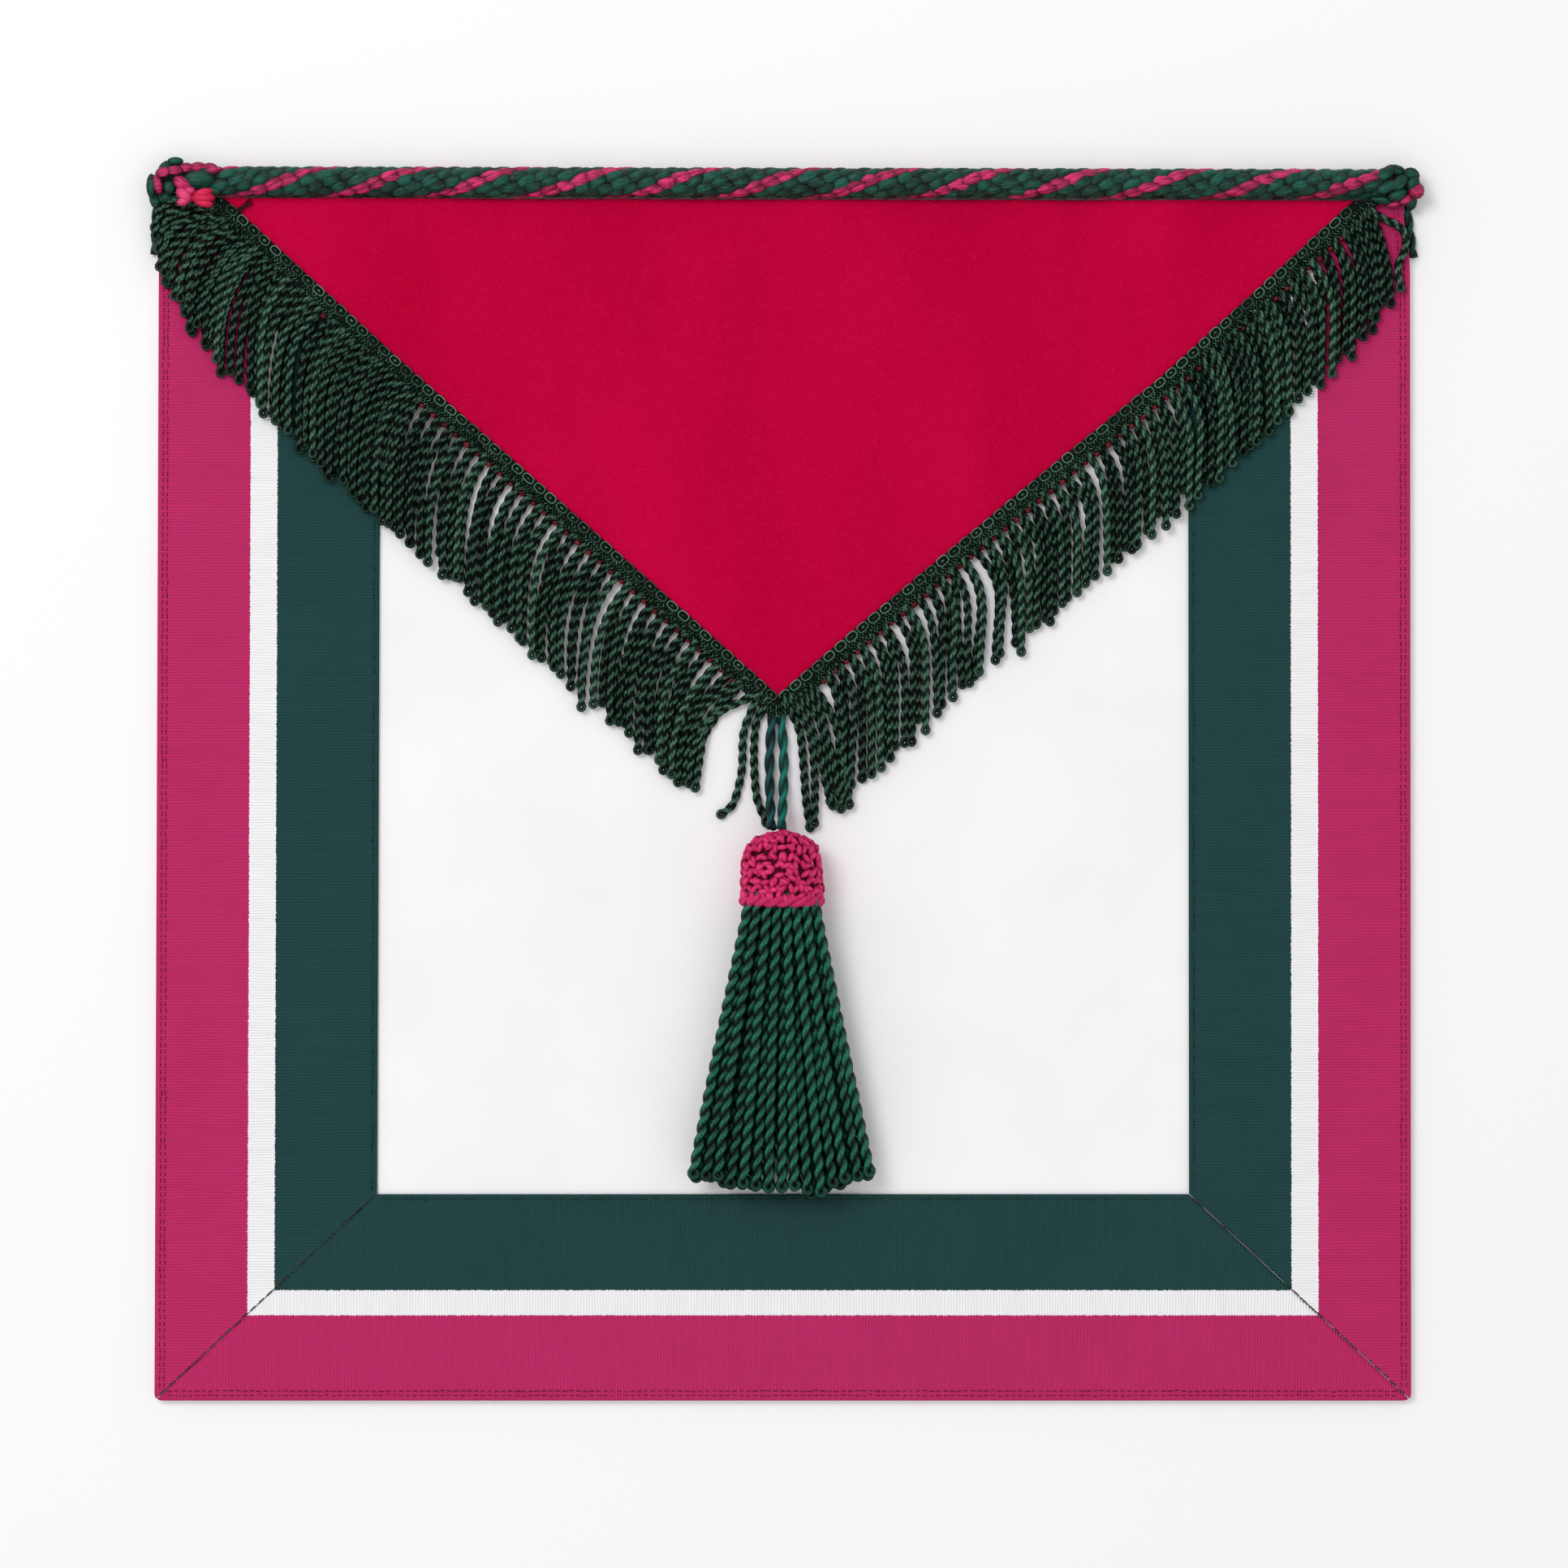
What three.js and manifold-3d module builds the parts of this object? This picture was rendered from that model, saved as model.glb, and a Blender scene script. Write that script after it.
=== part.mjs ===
import * as THREE from "three";
import { mergeVertices } from "three/addons/utils/BufferGeometryUtils.js";
import Module from "manifold-3d";

// A square ceremonial apron lying face up: a white panel edged on three sides with a striped ribbon,
// a pointed flap with a bullion fringe, a thick braided cord along the top edge and a hanging tassel.
// Millimetres, +Z up, +Y towards the apron's top edge. The origin is the centre of the panel's flat back.

const wasm = await Module();
wasm.setup();

// Clearance between two pieces that touch on the real apron
const GAP = 0.3;

// Panel
const PANEL_WIDTH = 406.6;
const PANEL_HEIGHT = 389;
const PANEL_THICKNESS = 2;
const CORNER_RADIUS = 2;
// how far each side edge draws in from the bottom corner to the top corner
const LEAN = { left: 1.5, right: 0.4 };
// how far the cord's stitching pulls each top corner in, and how far down that fades out
const PULL = { left: 0.5, right: 2.3 };
const PULL_REACH = 24;
// how much lower the right end of the top edge lies than its left end
const TOP_TILT = 1;

// Striped ribbon, sewn 0.5 mm proud of the panel's edge
const RIBBON_THICKNESS = 1;
const RIBBON_PROUD = 0.5;
const SIDE_RIBBON_WIDTH = 71.8;
const BOTTOM_RIBBON_WIDTH = 66.8;

// Flap
const FLAP_THICKNESS = 1.2;
const FLAP_DEPTH = 168.7;
const FLAP_TIP_SHIFT = -1.7;
const FLAP_TIP_WIDTH = 2;
// from the panel's top corner to the flap's, and how far each slanting edge bows outwards
const FLAP_INSET = { left: 11, right: 6.4 };
const FLAP_BOW = { left: 1.1, right: 2.8 };
// where along the slanting edge the bow lies, as shares of the edge and of the bow
const BOW_ROWS = [
  { along: 0, out: 0 },
  { along: 0.2, out: 0.62 },
  { along: 0.36, out: 1 },
  { along: 0.57, out: 0.45 },
  { along: 0.85, out: 0 },
  { along: 1, out: 0 },
];
// soft upright puckers below the cord: place as a share of the flap's width, the rest as shares of its depth
const PUCKER_HEIGHT = 1.1;
const PUCKER_ROWS = [
  { across: 0.21, wide: 0.1, reach: 0.3, high: 0.6 },
  { across: 0.36, wide: 0.09, reach: 0.55, high: 1 },
  { across: 0.53, wide: 0.12, reach: 0.6, high: 0.9 },
  { across: 0.68, wide: 0.1, reach: 0.45, high: 1 },
  { across: 0.82, wide: 0.08, reach: 0.3, high: 0.6 },
];
// the share of the flap's width at each slanting edge over which the puckers die out
const PUCKER_EDGE_FADE = 0.125;
// how far inside the ribbon's inner edge the soft pieces have sagged down to the panel
const SAG_REACH = 40;

// Fringe: a woven heading on the flap's slanting edges, and twisted strands hanging from it in locks
const HEADING_WIDTH = 6.4;
const HEADING_THICKNESS = 1.5;
const FRINGE_DROP = 43.4;
const LOCK_PITCH = 9.2;
const LOCK_WIDTH = 6.2;
const LOCK_THICKNESS = 4.2;
// a lock's sections along its length, as shares of its length, width and thickness,
// and how far each has come down from the heading (0) to what the fringe lies on (1)
const LOCK_SECTIONS = [
  { along: 0, wide: 0.5, thick: 0.2, lying: 0 },
  { along: 0.07, wide: 0.6, thick: 0.24, lying: 0 },
  { along: 0.26, wide: 0.92, thick: 0.92, lying: 1 },
  { along: 0.9, wide: 0.96, thick: 1, lying: 1 },
  { along: 1, wide: 0.5, thick: 0.6, lying: 1 },
];
// how far a lock keeps square to the heading, and how much of it hangs straight, as shares of its drop
const LOCK_LEAVING = 0.28;
const LOCK_HANGING = 0.6;
// where the locks end: share along the slanting edge, then sideways and down as shares of the fringe's drop
const FRINGE_ROWS = {
  left: [
    { at: 0, out: 0.26, drop: 0.34 },
    { at: 0.02, out: 0.33, drop: 0.47 },
    { at: 0.045, out: 0.33, drop: 0.64 },
    { at: 0.085, out: 0.29, drop: 0.76 },
    { at: 0.14, out: 0.21, drop: 0.92 },
    { at: 0.64, out: 0.21, drop: 0.91 },
    { at: 0.78, out: 0.23, drop: 0.9 },
    { at: 0.86, out: 0.25, drop: 0.88 },
    { at: 0.95, out: 0.37, drop: 0.73 },
  ],
  right: [
    { at: 0, out: 0.15, drop: 0.68 },
    { at: 0.03, out: 0.15, drop: 0.69 },
    { at: 0.07, out: 0.13, drop: 0.8 },
    { at: 0.36, out: 0.12, drop: 0.82 },
    { at: 0.69, out: 0.12, drop: 0.82 },
    { at: 0.73, out: 0.09, drop: 0.84 },
    { at: 0.84, out: 0.12, drop: 0.9 },
    { at: 0.95, out: 0.07, drop: 0.88 },
  ],
};
// the stretch of the slanting edge that carries locks, and the bare gaps in it
const FRINGE_SPAN = { from: 0.015, to: 0.955 };
const FRINGE_BARE = {
  left: [],
  right: [{ from: 0.7, to: 0.72 }],
};

// Braided cord along the top edge
const CORD_DIAMETER = 9.9;
const CORD_OVERHANG = { left: 2.7, right: 5.6 };
const CORD_PITCH = 62.8;
const CORD_STEPS_A_TURN = 8;
const STRIPE_DIAMETER = 2.7;
// where a pink strand first crosses the cord's top, as a share of the pitch from the cord's left end
const STRIPE_PHASE = 0.683;
// the pink strands stop this far inside the cord's ends
const STRIPE_SETBACK = 7;
// the cord's three green lobes on each side, in degrees round it and as shares of its radius
const CORD_LOBES = [
  { angle: 49, height: 1 },
  { angle: 69.5, height: 0.87 },
  { angle: 90, height: 1 },
  { angle: 110.5, height: 0.87 },
  { angle: 131, height: 1 },
];
// the groove that a pink strand lies in, as shares of its clear radius, outwards and across
const GROOVE_ROWS = [
  { outwards: -1.08, across: 0 },
  { outwards: -0.75, across: 0.7 },
  { outwards: 0.25, across: 1.35 },
];
// the cord's rounded ends: distance from the end as a share of its radius, and the section's scale
const CORD_END_ROWS = [
  { inwards: 0, scale: 0.55 },
  { inwards: 0.3, scale: 0.82 },
  { inwards: 0.8, scale: 1 },
];
// the strand of the cord that turns the corner and ends beside the panel
const TAIL_DIAMETER = 2.6;
const TAIL_LENGTH = 18;
// its way down from the cord's end: down as shares of its length, lift above the surface as shares of
// the cord's radius
const TAIL_ROWS = [
  { down: -0.07, lift: 0.26 },
  { down: 0.25, lift: 0.02 },
  { down: 0.6, lift: 0.02 },
  { down: 1, lift: 0.02 },
];

// Pink knot at the left corner
const KNOT_LENGTH = 11;
const KNOT_WIDTH = 5.2;
const KNOT_HEIGHT = 5;
const KNOT_FROM_END = 14.4;
// from the cord's middle line down to the knot's
const KNOT_BELOW_CORD = 5;

// Tassel
const TASSEL_HANG = 35.5;
const TASSEL_SHIFT = 1.4;
const HANGER_DIAMETER = 2.7;
const HANGER_SPREAD = 4.6;
// each leg's way to the cap: down as a share of its length, out as a share of half the spread, and
// lift from the panel (0) to the height of the cap's middle (1)
const HANGER_ROWS = [
  { down: 0, out: 0.8, lift: 0 },
  { down: 0.3, out: 1, lift: 0 },
  { down: 0.62, out: 0.95, lift: 0.15 },
  { down: 0.86, out: 0.8, lift: 0.65 },
  { down: 1, out: 0.7, lift: 1 },
];
const CAP_WIDTH = 27.1;
const CAP_LENGTH = 24.2;
const CAP_WALL = 2;
const SKIRT_LENGTH = 92;
const SKIRT_TOP_WIDTH = 26;
const SKIRT_BOTTOM_WIDTH = 62.6;
const SKIRT_TOP_THICKNESS = 17.5;
const SKIRT_BOTTOM_THICKNESS = 14;
const SKIRT_LOCK_TOP = 4.2;
const SKIRT_LOCK_BOTTOM = 7.2;
const SKIRT_LOCKS = 9;
// the share of its length over which the skirt comes down from the cap's middle to lie on the panel
const SKIRT_SETTLES = 0.4;
// a lock's sections, and the filled middle's, as shares of the skirt's length
const SKIRT_LOCK_ROWS = [
  { along: 0, wide: 1 },
  { along: 0.4, wide: 1 },
  { along: 0.95, wide: 1 },
  { along: 1, wide: 0.6 },
];
const SKIRT_CORE_STATIONS = [0, 0.35, 0.7, 0.9];
// a lying tassel is this much flatter than it is wide
const CAP_FLATNESS = 0.7;
// the cap's outside from its crown to its rolled lower edge, as shares of its half width and length
const CAP_ROWS = [
  { radius: 0, down: 0 },
  { radius: 0.44, down: 0.05 },
  { radius: 0.69, down: 0.13 },
  { radius: 0.87, down: 0.25 },
  { radius: 0.96, down: 0.42 },
  { radius: 0.97, down: 0.74 },
  { radius: 1, down: 0.86 },
  { radius: 0.98, down: 0.96 },
  { radius: 0.93, down: 1 },
];
// how far down the skirt's tips reach from side to side, as shares of its half width and length
const SKIRT_TIP_ROWS = [
  { across: -1, reach: 0.93 },
  { across: -0.5, reach: 0.963 },
  { across: 0, reach: 0.985 },
  { across: 0.15, reach: 0.963 },
  { across: 0.35, reach: 1 },
  { across: 0.7, reach: 0.95 },
  { across: 1, reach: 0.932 },
];

// Colours
const WHITE = "#f7f7f8";
const MAGENTA = "#b92660";
const RED = "#b90337";
const FRINGE_GREEN = "#16271f";
const TASSEL_GREEN = "#0f3a30";
const CORD_GREEN = "#0d4038";
const CAP_PINK = "#a7234f";

// Shared helpers
const TURN = 2 * Math.PI;
const SIDES = { left: -1, right: 1 };

function clamp01(value) {
  return Math.min(1, Math.max(0, value));
}

function smooth(value) {
  const t = clamp01(value);
  return t * t * (3 - 2 * t);
}

function mix(a, b, t) {
  return a + (b - a) * t;
}

// The value of one column of a table at a place between its rows
function lookUp(rows, key, column, place) {
  const next = rows.findIndex((row) => row[key] >= place);
  if (next < 0) return rows[rows.length - 1][column];
  if (next === 0) return rows[0][column];
  const before = rows[next - 1];
  const after = rows[next];
  return mix(before[column], after[column], (place - before[key]) / (after[key] - before[key]));
}

function point(x, y, z = 0) {
  return new THREE.Vector3(x, y, z);
}

// A geometry from points and faces, with its faces turned outwards
function closedGeometry(points, faces) {
  let volume = 0;
  for (let f = 0; f < faces.length; f += 3) {
    const [a, b, c] = [points[faces[f]], points[faces[f + 1]], points[faces[f + 2]]];
    volume += a.dot(b.clone().cross(c)) / 6;
  }
  if (volume < 0) faces.reverse();
  const geometry = new THREE.BufferGeometry().setFromPoints(points);
  geometry.setIndex(faces);
  return geometry;
}

// A closed body through rings of points that all turn the same way
function loft(rings) {
  const count = rings[0].length;
  const points = rings.flat();
  const faces = [];
  for (let r = 0; r + 1 < rings.length; r += 1) {
    for (let k = 0; k < count; k += 1) {
      const a = r * count + k;
      const b = r * count + ((k + 1) % count);
      faces.push(a, b, a + count, b, b + count, a + count);
    }
  }
  const caps = [
    { ring: rings[0], first: 0, start: true },
    { ring: rings[rings.length - 1], first: (rings.length - 1) * count, start: false },
  ];
  for (const { ring, first, start } of caps) {
    const middle = ring.reduce((sum, p) => sum.add(p), point(0, 0)).divideScalar(count);
    points.push(middle);
    for (let k = 0; k < count; k += 1) {
      const a = first + k;
      const b = first + ((k + 1) % count);
      faces.push(points.length - 1, start ? b : a, start ? a : b);
    }
  }
  return closedGeometry(points, faces);
}

// A closed sheet over a grid: under(u, v) is a point of its underside
function sheet(columns, rows, thickness, under) {
  const points = [];
  const faces = [];
  const stride = columns + 1;
  const layer = stride * (rows + 1);
  for (const lift of [0, thickness]) {
    for (let j = 0; j <= rows; j += 1) {
      for (let i = 0; i <= columns; i += 1) {
        points.push(under(i / columns, j / rows).add(point(0, 0, lift)));
      }
    }
  }
  for (let j = 0; j < rows; j += 1) {
    for (let i = 0; i < columns; i += 1) {
      const a = j * stride + i;
      const [b, c, d] = [a + 1, a + 1 + stride, a + stride];
      faces.push(a, b, c, a, c, d);
      faces.push(layer + a, layer + c, layer + b, layer + a, layer + d, layer + c);
    }
  }
  const rim = [];
  for (let i = 0; i < columns; i += 1) rim.push(i);
  for (let j = 0; j < rows; j += 1) rim.push(j * stride + columns);
  for (let i = columns; i > 0; i -= 1) rim.push(rows * stride + i);
  for (let j = rows; j > 0; j -= 1) rim.push(j * stride);
  rim.forEach((a, k) => {
    const b = rim[(k + 1) % rim.length];
    faces.push(a, layer + a, b, b, layer + a, layer + b);
  });
  return closedGeometry(points, faces);
}

function tube(route, diameter, steps, sides) {
  const section = new THREE.Shape();
  for (let k = 0; k < sides; k += 1) {
    const angle = ((k + 0.5) / sides) * TURN;
    const place = [(diameter / 2) * Math.cos(angle), (diameter / 2) * Math.sin(angle)];
    if (k === 0) section.moveTo(...place);
    else section.lineTo(...place);
  }
  const extrudePath = new THREE.CatmullRomCurve3(route);
  return new THREE.ExtrudeGeometry(section, { steps, extrudePath, bevelEnabled: false });
}

function solidOf(geometry) {
  const bare = geometry.clone();
  bare.deleteAttribute("normal");
  bare.deleteAttribute("uv");
  const merged = mergeVertices(bare, 1e-4);
  const vertProperties = merged.attributes.position.array;
  const triVerts = new Uint32Array(merged.index.array);
  return new wasm.Manifold(new wasm.Mesh({ numProp: 3, vertProperties, triVerts }));
}

function joined(geometries) {
  const whole = geometries.map(solidOf).reduce((sum, next) => sum.add(next));
  const { vertProperties, triVerts } = whole.getMesh();
  const geometry = new THREE.BufferGeometry();
  geometry.setAttribute("position", new THREE.BufferAttribute(vertProperties, 3));
  geometry.setIndex(new THREE.BufferAttribute(triVerts, 1));
  return geometry;
}

function piece(name, geometry, color, roughness) {
  const material = new THREE.MeshStandardMaterial({ color, roughness, metalness: 0 });
  const mesh = new THREE.Mesh(geometry, material);
  mesh.name = name;
  return mesh;
}

// Outline of the panel and its ribbon
const BOTTOM_Y = -PANEL_HEIGHT / 2;
const TOP_Y = PANEL_HEIGHT / 2;

function edgeX(side, y) {
  const lean = LEAN[side] * ((y - BOTTOM_Y) / PANEL_HEIGHT);
  const pull = PULL[side] * smooth((y - (TOP_Y - PULL_REACH)) / PULL_REACH);
  return SIDES[side] * (PANEL_WIDTH / 2 - lean - pull);
}

const TOP_LEFT_X = edgeX("left", TOP_Y);
const TOP_RIGHT_X = edgeX("right", TOP_Y);

function topY(x) {
  return TOP_Y - TOP_TILT * ((x - TOP_LEFT_X) / (TOP_RIGHT_X - TOP_LEFT_X));
}

function innerX(side, y) {
  return edgeX(side, y) - SIDES[side] * SIDE_RIBBON_WIDTH;
}

const INNER_BOTTOM_Y = BOTTOM_Y + BOTTOM_RIBBON_WIDTH;
const RIBBON_TOP_Z = PANEL_THICKNESS + GAP + RIBBON_THICKNESS;

// Height of what the soft pieces lie on: the panel in the middle, rising to the ribbon round it
function restZ(x, y, margin = 0) {
  const beyond = Math.max(x - innerX("right", 0), innerX("left", 0) - x, INNER_BOTTOM_Y - y) + margin;
  const share = smooth((beyond + SAG_REACH) / SAG_REACH);
  return mix(PANEL_THICKNESS, RIBBON_TOP_Z, share);
}

// Heights at which the side edges are followed down to the start of the bottom corner's rounding
function sideStations(radius) {
  return [TOP_Y, TOP_Y - PULL_REACH / 2, TOP_Y - PULL_REACH, BOTTOM_Y + radius];
}

function panelGeometry() {
  const inset = RIBBON_PROUD;
  const shape = new THREE.Shape();
  const sideX = (side, y) => edgeX(side, y) - SIDES[side] * inset;
  const low = BOTTOM_Y + inset;
  const stations = sideStations(CORNER_RADIUS + inset);
  stations.forEach((y, k) => {
    const x = sideX("left", y);
    if (k === 0) shape.moveTo(x, topY(x) - inset);
    else shape.lineTo(x, y);
  });
  const leftCentre = sideX("left", low) + CORNER_RADIUS;
  const rightCentre = sideX("right", low) - CORNER_RADIUS;
  shape.absarc(leftCentre, low + CORNER_RADIUS, CORNER_RADIUS, Math.PI, 1.5 * Math.PI);
  shape.absarc(rightCentre, low + CORNER_RADIUS, CORNER_RADIUS, 1.5 * Math.PI, TURN);
  [...stations].reverse().forEach((y, k, all) => {
    const x = sideX("right", y);
    shape.lineTo(x, k === all.length - 1 ? topY(x) - inset : y);
  });
  const depth = PANEL_THICKNESS;
  return new THREE.ExtrudeGeometry(shape, { depth, bevelEnabled: false, curveSegments: 6 });
}

function ribbonGeometry(outline) {
  const shape = new THREE.Shape(outline.map(([x, y]) => new THREE.Vector2(x, y)));
  const depth = RIBBON_THICKNESS;
  const geometry = new THREE.ExtrudeGeometry(shape, { depth, bevelEnabled: false });
  return geometry.translate(0, 0, PANEL_THICKNESS + GAP);
}

// The mitre runs from the inner corner to the middle of the outer corner's rounding
const MITRE_HALF_GAP = 0.7 * GAP;
const ROUNDING = CORNER_RADIUS * (1 - Math.SQRT1_2);

function sideRibbon(side) {
  const outer = sideStations(CORNER_RADIUS).map((y, k) => {
    const x = edgeX(side, y);
    return [x, k === 0 ? topY(x) : y];
  });
  const cornerX = edgeX(side, BOTTOM_Y) - SIDES[side] * ROUNDING;
  const innerTopX = innerX(side, TOP_Y);
  return ribbonGeometry([
    ...outer,
    [cornerX, BOTTOM_Y + ROUNDING + MITRE_HALF_GAP],
    [innerX(side, INNER_BOTTOM_Y), INNER_BOTTOM_Y + MITRE_HALF_GAP],
    [innerX(side, TOP_Y - PULL_REACH), TOP_Y - PULL_REACH],
    [innerTopX, topY(innerTopX)],
  ]);
}

function bottomRibbon() {
  const left = edgeX("left", BOTTOM_Y);
  const right = edgeX("right", BOTTOM_Y);
  return ribbonGeometry([
    [innerX("left", INNER_BOTTOM_Y), INNER_BOTTOM_Y - MITRE_HALF_GAP],
    [left + ROUNDING, BOTTOM_Y + ROUNDING - MITRE_HALF_GAP],
    [left + CORNER_RADIUS, BOTTOM_Y],
    [right - CORNER_RADIUS, BOTTOM_Y],
    [right - ROUNDING, BOTTOM_Y + ROUNDING - MITRE_HALF_GAP],
    [innerX("right", INNER_BOTTOM_Y), INNER_BOTTOM_Y - MITRE_HALF_GAP],
  ]);
}

// Flap
function flapCorner(side) {
  const x = edgeX(side, TOP_Y) - SIDES[side] * FLAP_INSET[side];
  return point(x, topY(x));
}

const FLAP_TIP = point(FLAP_TIP_SHIFT, TOP_Y - FLAP_DEPTH);

// The slanting edge as a straight line: its ends, length, direction and outward direction
function slant(side) {
  const top = flapCorner(side);
  const tip = FLAP_TIP.clone().add(point((SIDES[side] * FLAP_TIP_WIDTH) / 2, 0));
  const length = top.distanceTo(tip);
  const along = tip.clone().sub(top).normalize();
  const outward = point(-along.y, along.x).multiplyScalar(SIDES[side]);
  return { top, length, along, outward };
}

function flapEdge(side, share) {
  const { top, length, along, outward } = slant(side);
  const bow = FLAP_BOW[side] * lookUp(BOW_ROWS, "along", "out", share);
  return top.clone().addScaledVector(along, length * share).addScaledVector(outward, bow);
}

function puckerHeight(across, down) {
  return PUCKER_ROWS.reduce((sum, row) => {
    const near = 1 - smooth(Math.abs(across - row.across) / row.wide);
    return sum + PUCKER_HEIGHT * row.high * near * (1 - smooth(down / row.reach));
  }, 0);
}

function flapUnder(u, v) {
  const left = flapEdge("left", v);
  const right = flapEdge("right", v);
  const place = left.lerp(right, u);
  if (v === 0) place.y = topY(place.x);
  const edgeFade = smooth(Math.min(u, 1 - u) / PUCKER_EDGE_FADE);
  place.z = restZ(place.x, place.y) + GAP + puckerHeight(u, v) * edgeFade;
  return place;
}

// Fringe
function headingRings(side) {
  const { length, along, outward } = slant(side);
  const stations = 18;
  const inwards = -HEADING_WIDTH;
  const start = (-inwards * -outward.y) / (length * -along.y);
  const tipHalfAngle = Math.PI / 2 - Math.atan2(-along.y, Math.abs(along.x));
  const end = 1 - HEADING_WIDTH / Math.tan(tipHalfAngle) / length;
  const rings = [];
  for (let k = 0; k <= stations; k += 1) {
    const share = k / stations;
    const outer = flapEdge(side, share);
    const inner = flapEdge(side, mix(start, end, share)).addScaledVector(outward, inwards);
    for (const p of [outer, inner]) {
      p.x = SIDES[side] * Math.max(GAP / 2, SIDES[side] * (p.x - FLAP_TIP_SHIFT)) + FLAP_TIP_SHIFT;
      p.z = restZ(p.x, p.y) + 2 * GAP + FLAP_THICKNESS;
    }
    const lift = point(0, 0, HEADING_THICKNESS);
    rings.push([inner, inner.clone().add(lift), outer.clone().add(lift), outer]);
  }
  return rings;
}

// A lock leaves the heading square to it and bends over to hang straight down
function lockRoute(side, share) {
  const { outward } = slant(side);
  const edge = flapEdge(side, share);
  const out = lookUp(FRINGE_ROWS[side], "at", "out", share) * FRINGE_DROP;
  const drop = lookUp(FRINGE_ROWS[side], "at", "drop", share) * FRINGE_DROP;
  const root = edge.clone().addScaledVector(outward, -HEADING_THICKNESS);
  const leaving = edge.clone().addScaledVector(outward, LOCK_LEAVING * drop);
  const tip = edge.clone().add(point(SIDES[side] * out, -drop));
  const hanging = tip.clone().add(point(0, LOCK_HANGING * drop));
  return new THREE.CubicBezierCurve3(root, leaving, hanging, tip);
}

// Six points round a section whose flat underside lies at half a thickness below its centre
function lockRing(centre, tangent, halfWidth, halfThickness) {
  const across = point(-tangent.y, tangent.x).normalize();
  const corners = [
    [1, 0],
    [0.5, 1],
    [-0.5, 1],
    [-1, 0],
    [-0.5, -1],
    [0.5, -1],
  ];
  return corners.map(([wide, high]) =>
    centre.clone().addScaledVector(across, wide * halfWidth).add(point(0, 0, high * halfThickness)),
  );
}

function lockGeometry(side, share) {
  const route = lockRoute(side, share);
  const edge = flapEdge(side, share);
  const headingZ = restZ(edge.x, edge.y) + 2 * GAP + FLAP_THICKNESS + HEADING_THICKNESS / 2;
  const rings = LOCK_SECTIONS.map((row) => {
    const centre = route.getPoint(row.along);
    const halfWidth = (LOCK_WIDTH / 2) * row.wide;
    const halfThickness = (LOCK_THICKNESS / 2) * row.thick;
    const lyingZ = restZ(centre.x, centre.y, LOCK_WIDTH / 2) + GAP + halfThickness;
    centre.z = mix(headingZ, lyingZ, row.lying);
    return lockRing(centre, route.getTangent(row.along), halfWidth, halfThickness);
  });
  return loft(rings);
}

function fringeGeometry(side) {
  const { length } = slant(side);
  const span = FRINGE_SPAN.to - FRINGE_SPAN.from;
  const count = Math.round((span * length) / LOCK_PITCH);
  const parts = [loft(headingRings(side))];
  for (let k = 0; k <= count; k += 1) {
    const share = mix(FRINGE_SPAN.from, FRINGE_SPAN.to, k / count);
    const bare = FRINGE_BARE[side].some(({ from, to }) => share > from && share < to);
    if (!bare) parts.push(lockGeometry(side, share));
  }
  return joined(parts);
}

// Braided cord
const CORD_RADIUS = CORD_DIAMETER / 2;
const CORD_LEFT_X = TOP_LEFT_X - CORD_OVERHANG.left;
const CORD_RIGHT_X = TOP_RIGHT_X + CORD_OVERHANG.right;

function cordY(x) {
  return topY(x) + GAP + CORD_RADIUS;
}

// Angle round the cord, from +Y towards +Z, of the first pink strand
function stripeAngle(x) {
  return TURN * (0.25 + STRIPE_PHASE - (x - CORD_LEFT_X) / CORD_PITCH);
}

function cordPlace(x, outwards, across, angle) {
  const y = outwards * Math.cos(angle) - across * Math.sin(angle);
  const z = outwards * Math.sin(angle) + across * Math.cos(angle);
  return point(x, cordY(x) + y, CORD_RADIUS + z);
}

// The cord's section: half a turn from one groove to the next, then the same again
function cordSection() {
  const strandOut = CORD_RADIUS - STRIPE_DIAMETER / 2;
  const clear = STRIPE_DIAMETER / 2 + GAP;
  const groove = GROOVE_ROWS.map(({ outwards, across }) => [strandOut + outwards * clear, across * clear]);
  const lobes = CORD_LOBES.map(({ angle, height }) => {
    const turned = (angle / 360) * TURN;
    return [height * CORD_RADIUS * Math.cos(turned), height * CORD_RADIUS * Math.sin(turned)];
  });
  const nextGroove = groove.slice(1).reverse().map(([outwards, across]) => [-outwards, across]);
  const half = [...groove, ...lobes, ...nextGroove];
  return [...half, ...half.map(([outwards, across]) => [-outwards, -across])];
}

function cordStations(left, right) {
  const steps = Math.round(((right - left) / CORD_PITCH) * CORD_STEPS_A_TURN);
  return Array.from({ length: steps + 1 }, (_, k) => mix(left, right, k / steps));
}

function cordCoreRings() {
  const section = cordSection();
  const ring = (x, scale) =>
    section.map(([out, across]) => cordPlace(x, out * scale, across * scale, stripeAngle(x)));
  const ends = CORD_END_ROWS.map(({ inwards, scale }) => ({ inwards: inwards * CORD_RADIUS, scale }));
  const reach = ends[ends.length - 1].inwards;
  const middle = cordStations(CORD_LEFT_X + reach, CORD_RIGHT_X - reach).slice(1, -1);
  return [
    ...ends.map(({ inwards, scale }) => ring(CORD_LEFT_X + inwards, scale)),
    ...middle.map((x) => ring(x, 1)),
    ...[...ends].reverse().map(({ inwards, scale }) => ring(CORD_RIGHT_X - inwards, scale)),
  ];
}

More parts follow.
